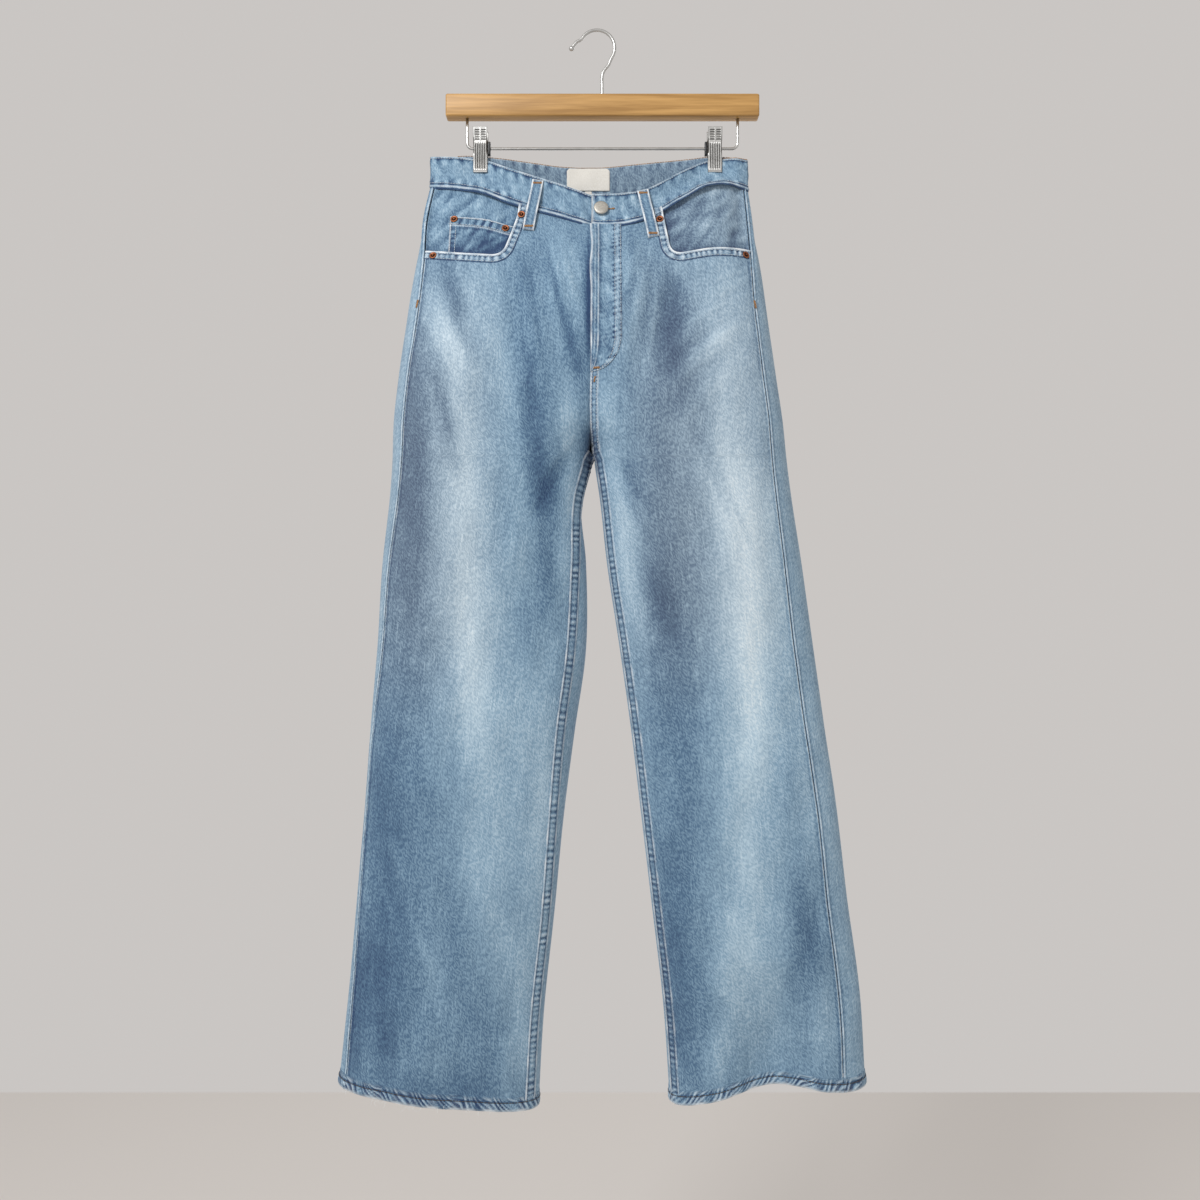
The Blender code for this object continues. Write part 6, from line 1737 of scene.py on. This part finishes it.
button = {
    "at": (0.0045, -0.2105), "lift": 0.0006,
    # radius and height (mm): flat back, neck, rolled rim, a slightly dished face
    "profile": ((3.0, 0.0), (3.6, 0.3), (3.6, 1.1), (7.4, 1.3), (8.1, 1.7), (8.3, 2.3), (8.1, 2.9),
                (7.6, 3.3), (6.9, 3.55), (5.8, 3.7), (4.0, 3.8), (2.0, 3.85), (0.4, 3.85)),
}
rivet = {
    "lift": 0.0005,
    # radius and height (mm), shine: a burr with a raised ring, a groove and a low centre
    "profile": ((3.6, 0.0, 0.1), (4.15, 0.2, 0.2), (4.3, 0.6, 0.4), (4.1, 1.05, 0.6),
                (3.6, 1.3, 0.8), (3.0, 1.25, 0.75), (2.4, 0.9, 0.5), (1.9, 0.75, 0.1),
                (1.5, 0.9, 0.0), (1.2, 1.35, 0.2), (0.8, 1.6, 0.55), (0.3, 1.7, 0.6)),
    "places": {
        "rivet_right_side": (-0.1800, -0.2655, 0.0), "rivet_right_waist": (-0.0835, -0.2170, 0.0),
        "rivet_coin_outer": (-0.1590, -0.2200, -0.0008),
        "rivet_coin_inner": (-0.1010, -0.2335, -0.0008),
        "rivet_left_waist": (0.0695, -0.2245, 0.0), "rivet_left_side": (0.1630, -0.2660, 0.0),
    },
}


def seatOnCloth(relief, x, z, lift):
    points, normals = onCloth(relief, np.array([x]), np.array([z]), np.array([lift]))
    return points[0], normals[0]


place, axis = seatOnCloth(frontRelief, *button["at"], button["lift"])
turnedPiece("buttonDome", np.array(button["profile"]) / 1000, place, axis, castPewter,
            ["waist_button"], 48)
rivetProfile = np.array(rivet["profile"])
for node, (x, z, sink) in rivet["places"].items():
    place, axis = seatOnCloth(frontRelief, x, z, rivet["lift"] + sink)
    turnedPiece("burr_" + node, rivetProfile[:, :2] / 1000, place, axis, wornCopper,
                [node], 24, rivetProfile[:, 2])

frays = {"count": 26, "radius": 0.00022, "frontY": -0.045, "foot": (0, -0.0008, -0.0095),
         "length": (0.004, 0.011)}


def buildFrays():
    # Loose bleached threads at the right hem: each bends away from the hem as a slow sine
    dice = np.random.default_rng(301)
    line = hemStitches[-1][0]
    low = line[line[:, 1] < frays["frontY"]]
    strands = []
    t = np.linspace(0, 1, 9)[:, None]
    angle = np.arange(4)[:, None] * math.pi / 2
    ring = np.cos(angle) * (1.0, 0.0, 0.0) + np.sin(angle) * (0.0, 1.0, 0.0)
    for _ in range(frays["count"]):
        start = low[dice.integers(len(low))] + frays["foot"] + (0, 0, dice.uniform(-0.001, 0.002))
        length = dice.uniform(*frays["length"])
        lean, bend = dice.normal(0, 0.9), dice.normal(0, 0.5)
        way = np.array([math.sin(lean), -0.15, -math.cos(lean) * 0.7])
        sideways = np.array([math.cos(lean), 0, math.sin(lean)])
        core = start + way * t * length + sideways * np.sin(t * math.pi) * bend * length * 0.4
        strands.append(core[:, None] + (frays["radius"] * (1 - 0.6 * t))[:, None] * ring)
    return strandsPiece("hemFrays", np.array(strands), whiteThread)


buildFrays()
print("trim made")

hanger = {
    "bar": (0.3540, 0.0185, 0.0255), "barCentre": (0.0062, 0.0005, -0.0856), "barEdge": 0.0022,
    "hookWire": 0.0019, "hookRadius": 0.0201, "hookArc": (150, -34),
    "hookTip": ((-0.0288, -0.0191), (-0.0270, -0.0165), (-0.0235, -0.0120)),
    "hookNeck": ((0.0125, -0.0385), (0.0084, -0.0435), (0.0066, -0.0470), (0.0058, -0.0510)),
    "stemX": 0.0058, "ball": 0.0030, "ballCentre": (-0.0288, 0.0, -0.0191),
    "wire": 0.00165, "wireHalf": 0.1532, "wireZ": -0.1326, "wireBend": 0.0065,
}


def roundedBar(name, size, centre, radius, finish, nodes=()):
    # Rings of a rounded rectangle along X; the rings at both ends shrink by a quarter circle
    angle = np.linspace(0, 2 * math.pi, 33)[:-1]
    corner = np.stack([np.cos(angle), np.sin(angle)], axis=1)
    turn = np.linspace(0, math.pi / 2, 6)
    inset, back = radius * (1 - np.sin(turn)), radius * (1 - np.cos(turn))
    x = np.r_[back - size[0] / 2, size[0] / 2 - back[::-1]]
    inset = np.r_[inset, inset[::-1]]
    loop = np.sign(np.round(corner, 9)) * (np.array(size[1:]) / 2 - radius) + corner * radius
    rings = loop[None] - corner[None] * inset[:, None, None]
    x = np.broadcast_to(x[:, None, None], (*rings.shape[:2], 1))
    return ringPiece(name, np.concatenate([x, rings], axis=2) + np.array(centre), finish,
                     nodes)


def arcPoints(centre, radius, start, end, count):
    # Points on an arc in the X-Z plane, angles in degrees from +X towards +Z
    angle = np.radians(np.linspace(start, end, count))
    return np.column_stack([centre[0] + radius * np.cos(angle), 0 * angle,
                            centre[1] + radius * np.sin(angle)])


def smoothWire(points, count):
    # A cubic through the points, at even steps of their length
    points = np.array(points, float)
    run = runAlong(points)
    wanted = np.linspace(0, run[-1], count)
    return np.column_stack([throughPoints(run, points[:, i], wanted) for i in range(3)])


def buildHanger():
    roundedBar("hangerBarWood", hanger["bar"], hanger["barCentre"], hanger["barEdge"],
               varnishedBeech, ["hanger_bar"])
    top = hanger["barCentre"][2] + hanger["bar"][2] / 2
    foot = hanger["barCentre"][2] - hanger["bar"][2] / 2
    centre = (0.0, -(hanger["hookRadius"] - hanger["hookWire"]))
    points = np.vstack([
        [(x, 0, z) for x, z in hanger["hookTip"]],
        arcPoints(centre, hanger["hookRadius"], *hanger["hookArc"], 24),
        [(x, 0, z) for x, z in hanger["hookNeck"]],
        [(hanger["stemX"], 0, -0.060), (hanger["stemX"], 0, top + 0.0002)]])
    tubePiece("hookWire", smoothWire(points, 90), hanger["hookWire"], (0.0, 1.0, 0.0),
              chromedWire, ["hanger_hook"], 18)
    turn = np.linspace(0.04, math.pi - 0.04, 20)
    turnedPiece("hookBall", np.column_stack([np.sin(turn), -np.cos(turn)]) * hanger["ball"],
                hanger["ballCentre"], (0, 0, 1), chromedWire, ["hanger_hook_tip"], 24)
    middle = hanger["barCentre"][0]
    left, right = middle - hanger["wireHalf"], middle + hanger["wireHalf"]
    bend, z = hanger["wireBend"], hanger["wireZ"]
    points = np.vstack([
        [(left, 0, foot - 0.0002), (left, 0, foot - 0.012)],
        arcPoints((left + bend, z + bend), bend, 180, 270, 10),
        [(x, 0, z) for x in np.linspace(left + 0.02, right - 0.02, 12)],
        arcPoints((right - bend, z + bend), bend, 270, 360, 10),
        [(right, 0, foot - 0.012), (right, 0, foot - 0.0002)]])
    tubePiece("trapezeWire", points, hanger["wire"], (0.0, 1.0, 0.0), chromedWire,
              ["hanger_wire"], 16)


buildHanger()

clip = {
    "places": {"right": -0.1318, "left": 0.1332}, "width": 0.0160, "plate": 0.0011,
    "rows": 84, "columns": 65, "ribs": 4, "ribHeight": 0.00080, "teethHeight": 0.00045,
    # half the distance between the jaws and the height (mm), from the splayed top to the lip
    "profile": ((8.9, -110.5), (8.8, -113.0), (8.0, -121.5), (7.2, -129.6), (6.6, -136.1),
                (6.0, -142.6), (5.3, -149.0), (5.1, -153.0), (5.3, -157.0), (6.8, -161.0)),
    "ribsZ": (-0.1270, -0.1585), "teethZ": (-0.1115, -0.1265), "toothPitch": 0.0026,
    "teethAt": (0.10, 0.80), "flangeZ": -0.1310, "flangeReach": 0.0075, "flangeDepth": 0.0034,
    "springWire": 0.0005, "springRadius": 0.0028, "springLength": 0.0110, "springTurns": 9,
    "lug": (0.0030, 0.0070, 0.0150), "lugAt": {"right": 0.0098, "left": -0.0098},
    "lugZ": -0.1330, "lugEdge": 0.0008,
}


def buildJaw(word, x, face, facing):
    # The profile carried across the width: upright ribs from below the grip, two columns of
    # cross teeth on the grip, and side flanges that turn in beside the pivot
    profile = np.array(clip["profile"]) / 1000
    run = runAlong(profile)
    wanted = np.linspace(0, run[-1], clip["rows"])
    y, z = (throughPoints(run, profile[:, i], wanted)[:, None] for i in (0, 1))
    s = np.linspace(-1, 1, clip["columns"])[None]
    (ribTop, ribFoot), (teethTop, teethFoot) = clip["ribsZ"], clip["teethZ"]
    lower = smoothStep((ribTop - z) / 0.003) * smoothStep((z - ribFoot) / 0.003)
    inner = smoothStep((0.86 - np.abs(s)) / 0.06)
    ribs = clip["ribHeight"] * np.cos(math.pi * clip["ribs"] * s)**2 * lower * inner
    upper = smoothStep((z - teethFoot) / 0.002) * smoothStep((teethTop - z) / 0.002)
    near, far = clip["teethAt"]
    waves = np.sin(2 * math.pi * z / clip["toothPitch"])
    teeth = clip["teethHeight"] * waves * upper \
        * smoothStep((far - np.abs(s)) / 0.1) * smoothStep((np.abs(s) - near) / 0.05)
    flange = np.exp(-((z - clip["flangeZ"]) / clip["flangeReach"])**4) \
        * smoothStep((np.abs(s) - 0.80) / 0.20)
    depth = y + ribs + teeth - clip["flangeDepth"] * flange
    points = np.stack([x + s * clip["width"] / 2 + 0 * z, facing * depth, z + 0 * s], axis=-1)
    faces = gridFaces(*points.shape[:2])
    if gridNormals(points)[..., 1].sum() * facing < 0:
        faces = faces[:, ::-1]
    # Painted light and shade: the plate is painted bright, and dark in the rib grooves, on the
    # teeth, along the side edges and on the flanges, so that the ribs and teeth show
    grooves = np.sin(math.pi * clip["ribs"] * s)**4 * lower * inner
    marks = (waves > 0.2) * upper * (np.abs(np.abs(s) - (near + far) / 2) < (far - near) / 2)
    shine = 0.84 - 0.80 * grooves - 0.60 * marks - 0.35 * (np.abs(s) > 0.93) - 0.2 * flange
    mesh = makeMesh("clipJaw_%s_%s" % (word, face), points, faces, tone=(shine,) * 3)
    addPiece(mesh.name, mesh, [stampedNickel], ["clip_%s_%s_jaw" % (word, face)],
             clip["plate"])


def buildSpring(word, x):
    # A helix round the wire: the angle grows evenly along X
    t = np.linspace(0, 1, 180)[:, None]
    angle = 2 * math.pi * clip["springTurns"] * t
    points = np.hstack([x + (t - 0.5) * clip["springLength"],
                        clip["springRadius"] * np.cos(angle),
                        hanger["wireZ"] + clip["springRadius"] * np.sin(angle)])
    tubePiece("clipSpring_" + word, points, clip["springWire"], (1.0, 0.0, 0.0), darkSteel,
              ["clip_%s_spring" % word], 8)


for word, x in clip["places"].items():
    for face, facing in (("front", -1), ("back", 1)):
        buildJaw(word, x, face, facing)
    buildSpring(word, x)
    roundedBar("clipLug_" + word, clip["lug"], (x + clip["lugAt"][word], 0.0, clip["lugZ"]),
               clip["lugEdge"], darkSteel)
print("hanger made")
